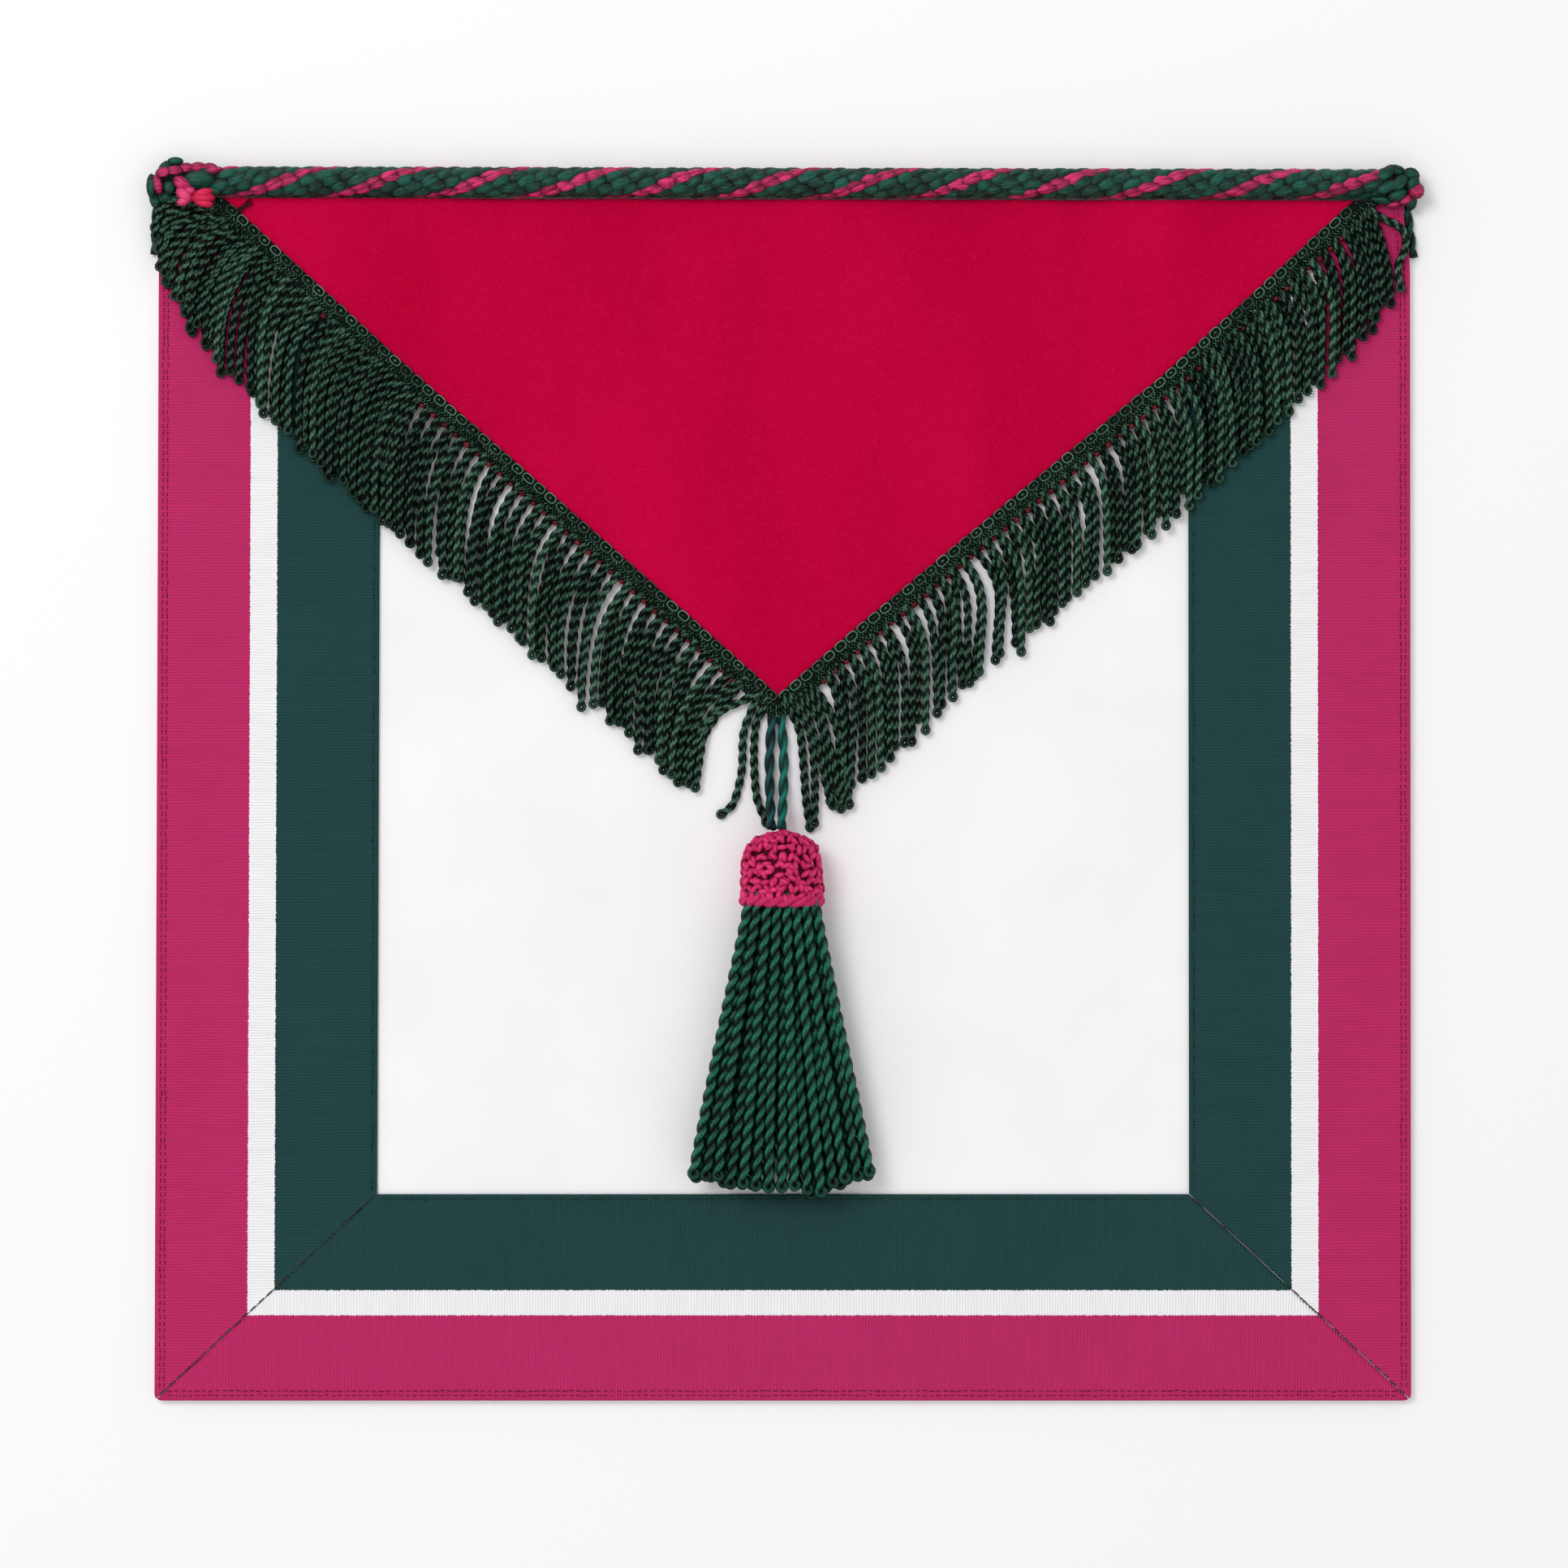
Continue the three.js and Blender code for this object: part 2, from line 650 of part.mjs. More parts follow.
function stripeGeometry(halfTurns) {
  const sides = 6;
  const strandOut = CORD_RADIUS - STRIPE_DIAMETER / 2;
  const reach = CORD_END_ROWS[CORD_END_ROWS.length - 1].inwards * CORD_RADIUS;
  const stations = cordStations(CORD_LEFT_X + reach, CORD_RIGHT_X - reach).filter(
    (x) => x > CORD_LEFT_X + STRIPE_SETBACK && x < CORD_RIGHT_X - STRIPE_SETBACK,
  );
  const rings = stations.map((x) => {
    const angle = stripeAngle(x) + halfTurns * Math.PI;
    return Array.from({ length: sides }, (_, k) => {
      const round = (k / sides) * TURN;
      const out = strandOut + (STRIPE_DIAMETER / 2) * Math.cos(round);
      return cordPlace(x, out, (STRIPE_DIAMETER / 2) * Math.sin(round), angle);
    });
  });
  return loft(rings);
}

function tailGeometry(side) {
  const towards = SIDES[side];
  const radius = TAIL_DIAMETER / 2;
  const cornerX = edgeX(side, TOP_Y);
  const route = TAIL_ROWS.map(({ down, lift }) => {
    const y = topY(cornerX) - down * TAIL_LENGTH;
    return point(edgeX(side, y) + towards * (radius + GAP), y, radius + lift * CORD_RADIUS);
  });
  const start = point(cornerX, cordY(cornerX), CORD_RADIUS);
  return tube([start, ...route], TAIL_DIAMETER, 8, 8);
}

function cordGeometry() {
  return joined([loft(cordCoreRings()), tailGeometry("left"), tailGeometry("right")]);
}

// Knot: it sits against the cord, over the start of the heading
function knotGeometry() {
  const x = CORD_LEFT_X + KNOT_FROM_END;
  const y = cordY(x) - KNOT_BELOW_CORD;
  const apart = CORD_RADIUS + KNOT_WIDTH / 2 + GAP;
  const z = CORD_RADIUS + Math.sqrt(apart * apart - KNOT_BELOW_CORD * KNOT_BELOW_CORD);
  const geometry = new THREE.SphereGeometry(0.5, 12, 8);
  return geometry.scale(KNOT_LENGTH, KNOT_WIDTH, KNOT_HEIGHT).translate(x, y, z);
}

// Tassel
const TASSEL_X = FLAP_TIP_SHIFT + TASSEL_SHIFT;
const CAP_TOP_Y = FLAP_TIP.y - TASSEL_HANG;
const CAP_BOTTOM_Y = CAP_TOP_Y - CAP_LENGTH;
const CAP_HALF_HEIGHT = (CAP_WIDTH / 2) * CAP_FLATNESS;
const TASSEL_Z = restZ(TASSEL_X, CAP_BOTTOM_Y, CAP_WIDTH / 2) + GAP + CAP_HALF_HEIGHT;

// The cap's profile drawn in by a distance, as radius and height above the cap's lower edge
function capProfile(inwards) {
  return CAP_ROWS.map(({ radius, down }) => {
    const share = 1 - inwards / (CAP_WIDTH / 2);
    const height = CAP_LENGTH * (1 - down) - inwards * (1 - down);
    return new THREE.Vector2((radius * CAP_WIDTH * share) / 2, height);
  });
}

function lyingLathe(profile, segments) {
  const geometry = new THREE.LatheGeometry(profile, segments);
  return geometry.scale(1, 1, CAP_FLATNESS).translate(TASSEL_X, CAP_BOTTOM_Y, TASSEL_Z);
}

function capGeometry() {
  const outside = capProfile(0);
  const inside = capProfile(CAP_WALL).reverse();
  return lyingLathe([...outside, ...inside].reverse(), 18);
}

// The bound head of the skirt fills the cap
function skirtHead() {
  const outside = capProfile(CAP_WALL + GAP / CAP_FLATNESS);
  const low = new THREE.Vector2(outside[outside.length - 1].x, -2 * GAP);
  return lyingLathe([...outside, low, new THREE.Vector2(0, -2 * GAP)].reverse(), 18);
}

// The skirt's outline at a share of its length
function skirtSpan(share) {
  return {
    halfWidth: mix(SKIRT_TOP_WIDTH, SKIRT_BOTTOM_WIDTH, share) / 2,
    halfThickness: mix(SKIRT_TOP_THICKNESS, SKIRT_BOTTOM_THICKNESS, share) / 2,
  };
}

function skirtCentreZ(y, share) {
  const lying = restZ(TASSEL_X, y, 0) + GAP + skirtSpan(share).halfThickness;
  return mix(TASSEL_Z, lying, smooth(share / SKIRT_SETTLES));
}

const SKIRT_TOP_Y = CAP_BOTTOM_Y - GAP;

// One lock of the upper or lower layer, at a share of the half width from -1 to 1
function skirtLock(across, layer) {
  const reach = lookUp(SKIRT_TIP_ROWS, "across", "reach", across);
  const rings = SKIRT_LOCK_ROWS.map(({ along, wide }) => {
    const share = along * reach;
    const { halfWidth, halfThickness } = skirtSpan(share);
    const radius = (mix(SKIRT_LOCK_TOP, SKIRT_LOCK_BOTTOM, share) / 2) * wide;
    const bulge = Math.sqrt(1 - across * across);
    const y = SKIRT_TOP_Y - share * SKIRT_LENGTH;
    const x = TASSEL_X + across * (halfWidth - radius);
    const z = skirtCentreZ(y, share) + layer * bulge * (halfThickness - radius);
    return lockRing(point(x, y, z), point(0, -1), radius, radius);
  });
  return loft(rings);
}

function skirtCore() {
  const sides = 12;
  const rings = SKIRT_CORE_STATIONS.map((share) => {
    const { halfWidth, halfThickness } = skirtSpan(share);
    const y = SKIRT_TOP_Y - share * SKIRT_LENGTH;
    const radius = mix(SKIRT_LOCK_TOP, SKIRT_LOCK_BOTTOM, share) / 2;
    return Array.from({ length: sides }, (_, k) => {
      const angle = (k / sides) * TURN;
      const x = TASSEL_X + (halfWidth - radius) * Math.cos(angle);
      return point(x, y, skirtCentreZ(y, share) + (halfThickness - radius) * Math.sin(angle));
    });
  });
  return loft(rings);
}

function skirtGeometry() {
  const parts = [skirtHead(), skirtCore()];
  for (let k = 0; k < SKIRT_LOCKS; k += 1) {
    parts.push(skirtLock(mix(-1, 1, k / (SKIRT_LOCKS - 1)), 1));
  }
  for (let k = 1; k < SKIRT_LOCKS; k += 1) {
    parts.push(skirtLock(mix(-1, 1, (k - 0.5) / (SKIRT_LOCKS - 1)), -1));
  }
  return joined(parts);
}

// The hanger is one loop of cord: up from the cap, round under the flap's point and back to the cap
function hangerGeometry() {
  const radius = HANGER_DIAMETER / 2;
  const half = HANGER_SPREAD / 2;
  const middle = TASSEL_X - half;
  const lying = restZ(middle, CAP_TOP_Y + TASSEL_HANG / 2) + GAP + radius;
  const turnY = FLAP_TIP.y - GAP - radius - half;
  const capTouch = CAP_TOP_Y + 2 * GAP;
  const leg = (towards) =>
    HANGER_ROWS.map(({ down, out, lift }) => {
      const x = middle + towards * half * out;
      return point(x, mix(turnY, capTouch, down), mix(lying, TASSEL_Z, lift));
    });
  const crown = point(middle, turnY + half, lying);
  return tube([...leg(1).reverse(), crown, ...leg(-1)], HANGER_DIAMETER, 28, 6);
}

const group = new THREE.Group();
group.add(
  piece("apron_body", panelGeometry(), WHITE, 0.85),
  piece("ribbon_left", sideRibbon("left"), MAGENTA, 0.6),
  piece("ribbon_right", sideRibbon("right"), MAGENTA, 0.6),
  piece("ribbon_bottom", bottomRibbon(), MAGENTA, 0.6),
  piece("flap", sheet(22, 7, FLAP_THICKNESS, flapUnder), RED, 0.7),
  piece("fringe_left", fringeGeometry("left"), FRINGE_GREEN, 0.55),
  piece("fringe_right", fringeGeometry("right"), FRINGE_GREEN, 0.55),
  piece("waist_cord", cordGeometry(), CORD_GREEN, 0.45),
  piece("waist_cord_stripe_a", stripeGeometry(0), MAGENTA, 0.45),
  piece("waist_cord_stripe_b", stripeGeometry(1), MAGENTA, 0.45),
  piece("corner_knot", knotGeometry(), MAGENTA, 0.45),
  piece("tassel_hanger", hangerGeometry(), TASSEL_GREEN, 0.45),
  piece("tassel_cap", capGeometry(), CAP_PINK, 0.6),
  piece("tassel_skirt", skirtGeometry(), TASSEL_GREEN, 0.45),
);

export default group;
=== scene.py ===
import bpy
import numpy as np
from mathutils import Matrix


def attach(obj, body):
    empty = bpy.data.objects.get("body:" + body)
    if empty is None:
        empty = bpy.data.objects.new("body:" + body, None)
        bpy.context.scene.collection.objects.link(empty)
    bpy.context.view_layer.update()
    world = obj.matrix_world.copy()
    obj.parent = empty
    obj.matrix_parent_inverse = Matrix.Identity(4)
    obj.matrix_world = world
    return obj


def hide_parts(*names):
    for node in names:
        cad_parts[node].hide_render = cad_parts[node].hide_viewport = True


# A square ceremonial apron lying face up: a white panel edged with a striped grosgrain ribbon, a crimson
# flap with a bullion fringe, a braided cord along the top edge and a tassel with a crocheted cap.
# Lengths are in millimetres in the model's own frame, and become metres where a mesh is made.

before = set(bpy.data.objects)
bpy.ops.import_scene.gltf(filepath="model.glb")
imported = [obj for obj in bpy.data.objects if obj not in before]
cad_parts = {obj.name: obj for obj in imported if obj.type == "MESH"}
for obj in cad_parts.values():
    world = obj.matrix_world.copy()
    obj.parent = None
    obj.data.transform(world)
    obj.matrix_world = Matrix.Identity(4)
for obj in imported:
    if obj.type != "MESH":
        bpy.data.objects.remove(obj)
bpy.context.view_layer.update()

MM = 0.001
TURN = 2 * np.pi
UP = np.array([0.0, 0.0, 1.0])
chance = np.random.default_rng(11)

# The photograph is seen from straight above
PHOTO_SIZE_PX = 1932
MM_A_PX = 0.26295
ORIGIN_PX = (964.5, 985.0)
CAMERA_HEIGHT = 1900.0
SENSOR_WIDTH = 36.0
CAMERA_REACH = (0.05, 20)

# Sizes of the model's pieces
GAP = 0.3
PANEL_WIDTH = 406.6
PANEL_HEIGHT = 389.0
PANEL_THICKNESS = 2.0
CORNER_RADIUS = 2.0
LEAN = {"left": 1.5, "right": 0.4}
PULL = {"left": 0.5, "right": 2.3}
PULL_REACH = 24.0
TOP_TILT = 1.0
RIBBON_THICKNESS = 1.0
RIBBON_PROUD = 0.5
SIDE_RIBBON_WIDTH = 71.8
BOTTOM_RIBBON_WIDTH = 66.8
FLAP_THICKNESS = 1.2
FLAP_DEPTH = 168.7
FLAP_TIP_SHIFT = -1.7
FLAP_TIP_WIDTH = 2.0
FLAP_INSET = {"left": 11.0, "right": 6.4}
FLAP_BOW = {"left": 1.1, "right": 2.8}
BOW_ALONG = [0, 0.2, 0.36, 0.57, 0.85, 1]
BOW_OUT = [0, 0.62, 1, 0.45, 0, 0]
SAG_REACH = 40.0
FRINGE_DROP = 43.4
CORD_DIAMETER = 9.9
CORD_OVERHANG = {"left": 2.7, "right": 5.6}
CORD_PITCH = 62.8
STRIPE_PHASE = 0.683
TASSEL_HANG = 35.5
TASSEL_SHIFT = 1.4
CAP_WIDTH = 27.1
CAP_LENGTH = 24.2
CAP_FLATNESS = 0.7
SKIRT_LENGTH = 92.0
SKIRT_TOP_WIDTH = 26.0
SKIRT_BOTTOM_WIDTH = 62.6
SKIRT_TOP_THICKNESS = 17.5
SKIRT_BOTTOM_THICKNESS = 14.0

SIDES = {"left": -1, "right": 1}


# Helpers
def smooth(value):
    t = np.clip(value, 0, 1)
    return t * t * (3 - 2 * t)


def mix(a, b, t):
    return a + (b - a) * t


def unit(vectors):
    return vectors / np.maximum(np.linalg.norm(vectors, axis=-1, keepdims=True), 1e-9)


def place(x, y, z):
    return np.stack(np.broadcast_arrays(x, y, z), axis=-1).astype(float)


def from_photo(px, py):
    return (px - ORIGIN_PX[0]) * MM_A_PX, (ORIGIN_PX[1] - py) * MM_A_PX


# Where something at a height has to be so that the camera sees it at a place on the floor
def straight_below(x, y, z):
    middle_x, middle_y = from_photo(PHOTO_SIZE_PX / 2, PHOTO_SIZE_PX / 2)
    share = z / CAMERA_HEIGHT
    return mix(x, middle_x, share), mix(y, middle_y, share)


# A bumpy surface as a sum of waves in fixed directions
WAVES_IN_RIPPLE = 5


def ripple(x, y, wavelength, seed):
    own = np.random.default_rng(seed)
    total = 0
    for _ in range(WAVES_IN_RIPPLE):
        angle, phase = own.uniform(0, TURN, 2)
        reach = wavelength * own.uniform(0.6, 1.6)
        total = total + np.sin((x * np.cos(angle) + y * np.sin(angle)) * TURN / reach + phase)
    return total / WAVES_IN_RIPPLE


# Soft unevenness of a cloth, from rows of height, wavelength and seed
def softness(x, y, rows):
    return sum(height * ripple(x, y, wavelength, seed) for height, wavelength, seed in rows)


def lengths_along(route):
    steps = np.linalg.norm(np.diff(route, axis=0), axis=1)
    return np.concatenate([[0], np.cumsum(steps)])


def resampled(route, count):
    along = lengths_along(route)
    wanted = np.linspace(0, along[-1], count)
    return np.stack([np.interp(wanted, along, route[:, k]) for k in range(3)], axis=1)


def bezier(a, b, c, d, count):
    t = np.linspace(0, 1, count)[:, None]
    return (1 - t) ** 3 * a + 3 * (1 - t) ** 2 * t * b + 3 * (1 - t) * t**2 * c + t**3 * d


# A smooth curve through a few points
def curve_through(points, count):
    points = np.asarray(points, float)
    ends = np.vstack([2 * points[0] - points[1], points, 2 * points[-1] - points[-2]])
    spans = len(points) - 1
    t = np.linspace(0, spans, count)
    k = np.minimum(t.astype(int), spans - 1)
    f = (t - k)[:, None]
    p0, p1, p2, p3 = ends[k], ends[k + 1], ends[k + 2], ends[k + 3]
    return 0.5 * (
        2 * p1
        + (p2 - p0) * f
        + (2 * p0 - 5 * p1 + 4 * p2 - p3) * f**2
        + (3 * p1 - p0 - 3 * p2 + p3) * f**3
    )


# Directions along a route, sideways and upwards
def directions(route, up=UP, closed=False):
    if closed:
        around = np.vstack([route[-1:], route, route[:1]])
        tangent = unit(around[2:] - around[:-2])
    else:
        tangent = unit(np.gradient(route, axis=0))
    side = unit(np.cross(tangent, up))
    return tangent, side, np.cross(side, tangent)


# Half axes of lumps from their three directions and half lengths
def half_axes(ways, halves):
    return np.stack([way * half for way, half in zip(ways, halves)], 1)


# Quads between rings of points, and the triangles that close both ends round two more points
def skin(rows, around):
    a = np.arange(rows * around).reshape(rows, around)
    b = np.roll(a, -1, axis=1)
    quads = np.stack([a[:-1], b[:-1], b[1:], a[1:]], axis=-1).reshape(-1, 4)
    caps = [np.stack([b[0], a[0], np.full(around, a.size)], axis=-1)]
    caps.append(np.stack([a[-1], b[-1], np.full(around, a.size + 1)], axis=-1))
    return quads, np.vstack(caps)


# How slowly the streaks change along a yarn, and the share of a point's tone that is the yarn's own, the
# rest being painted light and shade from its crest
STREAK_STRETCH = 0.12
OWN_TONE = 0.3
EVEN_TONE = 0.5
# Where a yarn's painted crest highlight starts, as a share of its greatest distance from the axis, and how
# far it rises
CREST_START, CREST_RISE = 0.5, 0.48
# Painted light on a yarn that faces sideways, and how much more is painted where it faces up
SIDE_LIGHT, TOP_LIGHT = 0.2, 0.95
LUMP_STOPS = np.array([-0.86, -0.5, 0.0, 0.5, 0.86])
# How narrow the painted highlight on the top of each lump is
LUMP_KEEN = 1.2


# The tone at a point of a yarn, from the yarn's own tone and the painted highlight that depends on how near
# its crest the point lies
def tone_with_painted_light(tone, crest_light):
    return OWN_TONE * tone + (1 - OWN_TONE) * crest_light


# Points, faces and the values at the points, gathered until they become one mesh
class Form:
    def __init__(self):
        self.points = []
        self.quads = []
        self.triangles = []
        self.thread = []
        self.tone = []
        self.count = 0

    def add(self, points, quads, triangles, thread, tone):
        self.points.append(points)
        if len(quads):
            self.quads.append(np.asarray(quads) + self.count)
        if len(triangles):
            self.triangles.append(np.asarray(triangles) + self.count)
        self.thread.append(thread)
        self.tone.append(np.broadcast_to(tone, len(points)))
        self.count += len(points)

    # A round or flattened tube; thread holds the place in the straightened yarn, for streaks along it.
    # With the axis that it winds round, its tone rises from painted shade in the groove to a painted
    # highlight on the crest, which is narrow where keen is high, and is painted darker towards the yarn's
    # sides
    def tube(
        self, route, radius, sides=6, up=UP, flat=1.0, twist=0.0, tone=0.5, closed=False, axis=None, keen=3
    ):
        count = len(route)
        _, side, above = directions(route, up, closed)
        radius = np.broadcast_to(radius, count)[:, None, None]
        angle = np.arange(sides) / sides * TURN
        cos, sin = np.cos(angle)[None, :, None], np.sin(angle)[None, :, None]
        points = route[:, None] + radius * (cos * side[:, None] + flat * sin * above[:, None])
        along = lengths_along(route)[:, None]
        turned = angle[None, :] + twist * along
        forward = along * STREAK_STRETCH + chance.uniform(0, 500)
        girth = radius[..., 0]
        thread = place(forward, girth * np.cos(turned), girth * np.sin(turned))
        if closed:
            a = np.arange(count * sides).reshape(count, sides)
            b = np.roll(a, -1, axis=1)
            quads = np.stack([a, b, np.roll(b, -1, axis=0), np.roll(a, -1, axis=0)], axis=-1)
            self.add(points.reshape(-1, 3), quads.reshape(-1, 4), [], thread.reshape(-1, 3), tone)
            return
        quads, caps = skin(count, sides)
        all_points = np.vstack([points.reshape(-1, 3), route[0], route[-1]])
        all_thread = np.vstack([thread.reshape(-1, 3), thread[0].mean(0), thread[-1].mean(0)])
        if axis is not None:
            away = points - axis[:, None]
            rise = np.sum(away * above[:, None], axis=2, keepdims=True)
            away = np.linalg.norm(away + (1 / flat - 1) * rise * above[:, None], axis=2)
            facing_up = rise[..., 0] / flat / np.maximum(away, 1e-6)
            outer = away / np.median(away.max(axis=1))
            # Painted highlight on the crest, painted shade in the groove and on the sides that face away
            # from above
            crest_light = np.clip((outer - CREST_START) / CREST_RISE, 0, 1) ** keen
            crest_light = crest_light * np.clip(SIDE_LIGHT + TOP_LIGHT * facing_up, 0, 1)
            tone = np.concatenate([tone_with_painted_light(tone, crest_light).ravel(), [tone, tone]])
        self.add(all_points, quads, caps, all_thread, tone)

    # Many egg-shaped lumps: centres (n, 3), axes (n, 3, 3) with their half lengths as rows; each is painted
    # lighter on the top of its third axis as a painted highlight and darker round its rim as painted shade
    def lumps(self, centres, axes, tones, around=10):
        angle = np.arange(around) / around * TURN
        girth = np.sqrt(1 - LUMP_STOPS**2)
        ball = place(LUMP_STOPS[:, None], girth[:, None] * np.cos(angle), girth[:, None] * np.sin(angle))
        ball = np.vstack([ball.reshape(-1, 3), [[-1, 0, 0], [1, 0, 0]]])
        quads, caps = skin(len(LUMP_STOPS), around)
        number, size = len(centres), len(ball)
        points = centres[:, None] + np.einsum("pk,nkc->npc", ball, axes)
        thread = ball[None] * np.linalg.norm(axes, axis=2)[:, None]
        thread[..., 0] = thread[..., 0] * STREAK_STRETCH + chance.uniform(0, 500, number)[:, None]
        shift = (np.arange(number) * size)[:, None, None]
        crest_light = np.clip(ball[:, 2], 0, 1) ** LUMP_KEEN
        self.add(
            points.reshape(-1, 3),
            (quads[None] + shift).reshape(-1, 4),
            (caps[None] + shift).reshape(-1, 3),
            thread.reshape(-1, 3),
            tone_with_painted_light(np.repeat(tones, size), np.tile(crest_light, number)),
        )

    # A closed sheet: upper and lower are grids of points of the same shape, cloth their flat places
    def sheet(self, upper, lower, cloth):
        rows, columns = upper.shape[:2]
        under = rows * columns
        top = np.arange(under).reshape(rows, columns)
        base = top + under
        quads = [np.stack([top[:-1, :-1], top[:-1, 1:], top[1:, 1:], top[1:, :-1]], axis=-1)]
        quads.append(np.stack([base[:-1, :-1], base[1:, :-1], base[1:, 1:], base[:-1, 1:]], axis=-1))
        rim = np.concatenate([top[0, :-1], top[:-1, -1], top[-1, :0:-1], top[:0:-1, 0]])
        onwards = np.roll(rim, -1)
        quads.append(np.stack([rim, rim + under, onwards + under, onwards], axis=-1))
        quads = np.vstack([q.reshape(-1, 4) for q in quads])
        points = np.vstack([upper.reshape(-1, 3), lower.reshape(-1, 3)])
        flat = cloth.reshape(-1, 3)
        self.add(points, quads, [], np.vstack([flat, flat]), EVEN_TONE)


# One object from a form, riding on the model's only body
def made(name, form, material, replaces=()):
    points = np.concatenate(form.points) * MM
    quads = np.concatenate(form.quads)
    triangles = np.concatenate(form.triangles) if form.triangles else np.zeros((0, 3), int)
    loops = np.concatenate([quads.ravel(), triangles.ravel()])
    starts = np.concatenate([np.arange(len(quads)) * 4, quads.size + np.arange(len(triangles)) * 3])
    mesh = bpy.data.meshes.new(name)
    mesh.vertices.add(len(points))
    mesh.vertices.foreach_set("co", points.astype(np.float32).ravel())
    mesh.loops.add(len(loops))
    mesh.loops.foreach_set("vertex_index", loops.astype(np.int32))
    mesh.polygons.add(len(starts))
    mesh.polygons.foreach_set("loop_start", starts.astype(np.int32))
    mesh.update(calc_edges=True)
    mesh.validate()
    thread = mesh.attributes.new("thread", "FLOAT_VECTOR", "POINT")
    thread.data.foreach_set("vector", np.concatenate(form.thread).astype(np.float32).ravel())
    tone = mesh.attributes.new("tone", "FLOAT", "POINT")
    tone.data.foreach_set("value", np.concatenate(form.tone).astype(np.float32))
    mesh.shade_smooth()
    mesh.materials.append(material)
    piece = bpy.data.objects.new(name, mesh)
    bpy.context.scene.collection.objects.link(piece)
    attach(piece, "root")
    if replaces:
        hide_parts(*replaces)
    return piece


# Camera, floor and light
def make_camera():
    data = bpy.data.cameras.new("camera")
    width = PHOTO_SIZE_PX * MM_A_PX
    data.sensor_width = SENSOR_WIDTH
    data.lens = SENSOR_WIDTH * CAMERA_HEIGHT / width
    data.clip_start, data.clip_end = CAMERA_REACH
    camera = bpy.data.objects.new("camera", data)
    x, y = from_photo(PHOTO_SIZE_PX / 2, PHOTO_SIZE_PX / 2)
    camera.location = (x * MM, y * MM, CAMERA_HEIGHT * MM)
    bpy.context.scene.collection.objects.link(camera)
    bpy.context.scene.camera = camera


# Sizes and places on the stage are in metres
FLOOR_SIZE = 8.0
FLOOR_COLOUR = (0.955, 0.955, 0.955, 1)
SKY_COLOUR = (1, 1, 1, 1)
SKY_STRENGTH = 0.71
LAMP_PLACE = (-1.1, 1.0, 2.25)
LAMP_SIZE = 1.3
LAMP_POWER = 27.0


def make_stage():
    mesh = bpy.data.meshes.new("floor")
    half = FLOOR_SIZE / 2
    corners = [(-half, -half, 0), (half, -half, 0), (half, half, 0), (-half, half, 0)]
    mesh.from_pydata(corners, [], [(0, 1, 2, 3)])
    floor = bpy.data.objects.new("floor", mesh)
    bpy.context.scene.collection.objects.link(floor)
    look = Look("floor_paint", 0.9, specular=0.0)
    look.shader.inputs["Base Color"].default_value = FLOOR_COLOUR
    mesh.materials.append(look.material)


def make_light():
    scene = bpy.context.scene
    scene.view_settings.view_transform = "Standard"
    world = bpy.data.worlds.new("sky")
    world.use_nodes = True
    background = world.node_tree.nodes["Background"]
    background.inputs["Strength"].default_value = SKY_STRENGTH
    background.inputs["Color"].default_value = SKY_COLOUR
    scene.world = world
    data = bpy.data.lights.new("lamp", "AREA")
    data.shape = "DISK"
    data.size = LAMP_SIZE
    data.energy = LAMP_POWER
    lamp = bpy.data.objects.new("lamp", data)
    lamp.location = LAMP_PLACE
    scene.collection.objects.link(lamp)
    back = np.array(LAMP_PLACE) / np.linalg.norm(LAMP_PLACE)
    side = unit(np.cross(UP, back))
    turned = np.column_stack([side, np.cross(back, side), back])
    matrix = lamp.matrix_world.copy()
    for row in range(3):
        for column in range(3):
            matrix[row][column] = turned[row][column]
        matrix[row][3] = LAMP_PLACE[row]
    lamp.matrix_world = matrix


# Colours of the pieces, a dark and a light one each, as red, green and blue from 0 to 255; on the yarns the
# light one is mostly reached on the crests as a painted highlight and the dark one in the grooves as
# painted shade
COLOURS = {
    "panel": ((244, 243, 246), (250, 249, 251)),
    "ribbon_magenta": ((176, 32, 86), (203, 50, 112)),
    "ribbon_white": ((243, 241, 245), (254, 253, 254)),
    "ribbon_green": ((24, 56, 56), (38, 76, 75)),
    "flap": ((173, 1, 47), (193, 5, 59)),
    "flap_crepe": ((186, 3, 55), (218, 30, 86)),
    "seam_thread_green": ((16, 44, 42), (46, 92, 84)),
    "seam_thread_magenta": ((96, 14, 44), (150, 30, 76)),
    "seam_thread_dark": ((36, 30, 30), (86, 66, 66)),
    "fringe_thread": ((2, 9, 7), (92, 138, 112)),
    "edge_dots_left": ((56, 12, 18), (138, 44, 46)),
    "edge_dots_right": ((56, 12, 18), (138, 44, 46)),
    "green_cord": ((0, 9, 8), (16, 90, 74)),
    "pink_cord": ((90, 2, 32), (222, 50, 114)),
    "knot_pink": ((170, 16, 70), (238, 84, 138)),
    "knot_red": ((168, 6, 50), (228, 44, 92)),
    "tassel_thread": ((1, 12, 10), (42, 130, 104)),
    "hanger_right": ((2, 50, 46), (24, 134, 116)),
    "hanger_left": ((3, 26, 27), (26, 92, 92)),
    "cap_crochet": ((160, 12, 62), (238, 60, 130)),
}
# Painted shade: dark colours for what lies underneath the yarns and shows only in the gaps between them
SHADE_COLOURS = {"fringe_backing_shade": (12, 22, 17), "cord_core_shade": (5, 16, 13), "cap_shade": (84, 8, 34)}


def linear(red, green, blue):
    channels = np.array([red, green, blue]) / 255
    low = channels / 12.92
    high = ((channels + 0.055) / 1.055) ** 2.4
    return (*np.where(channels <= 0.04045, low, high), 1.0)


def colour_pair(name):
    return [linear(*colour) for colour in COLOURS[name]]


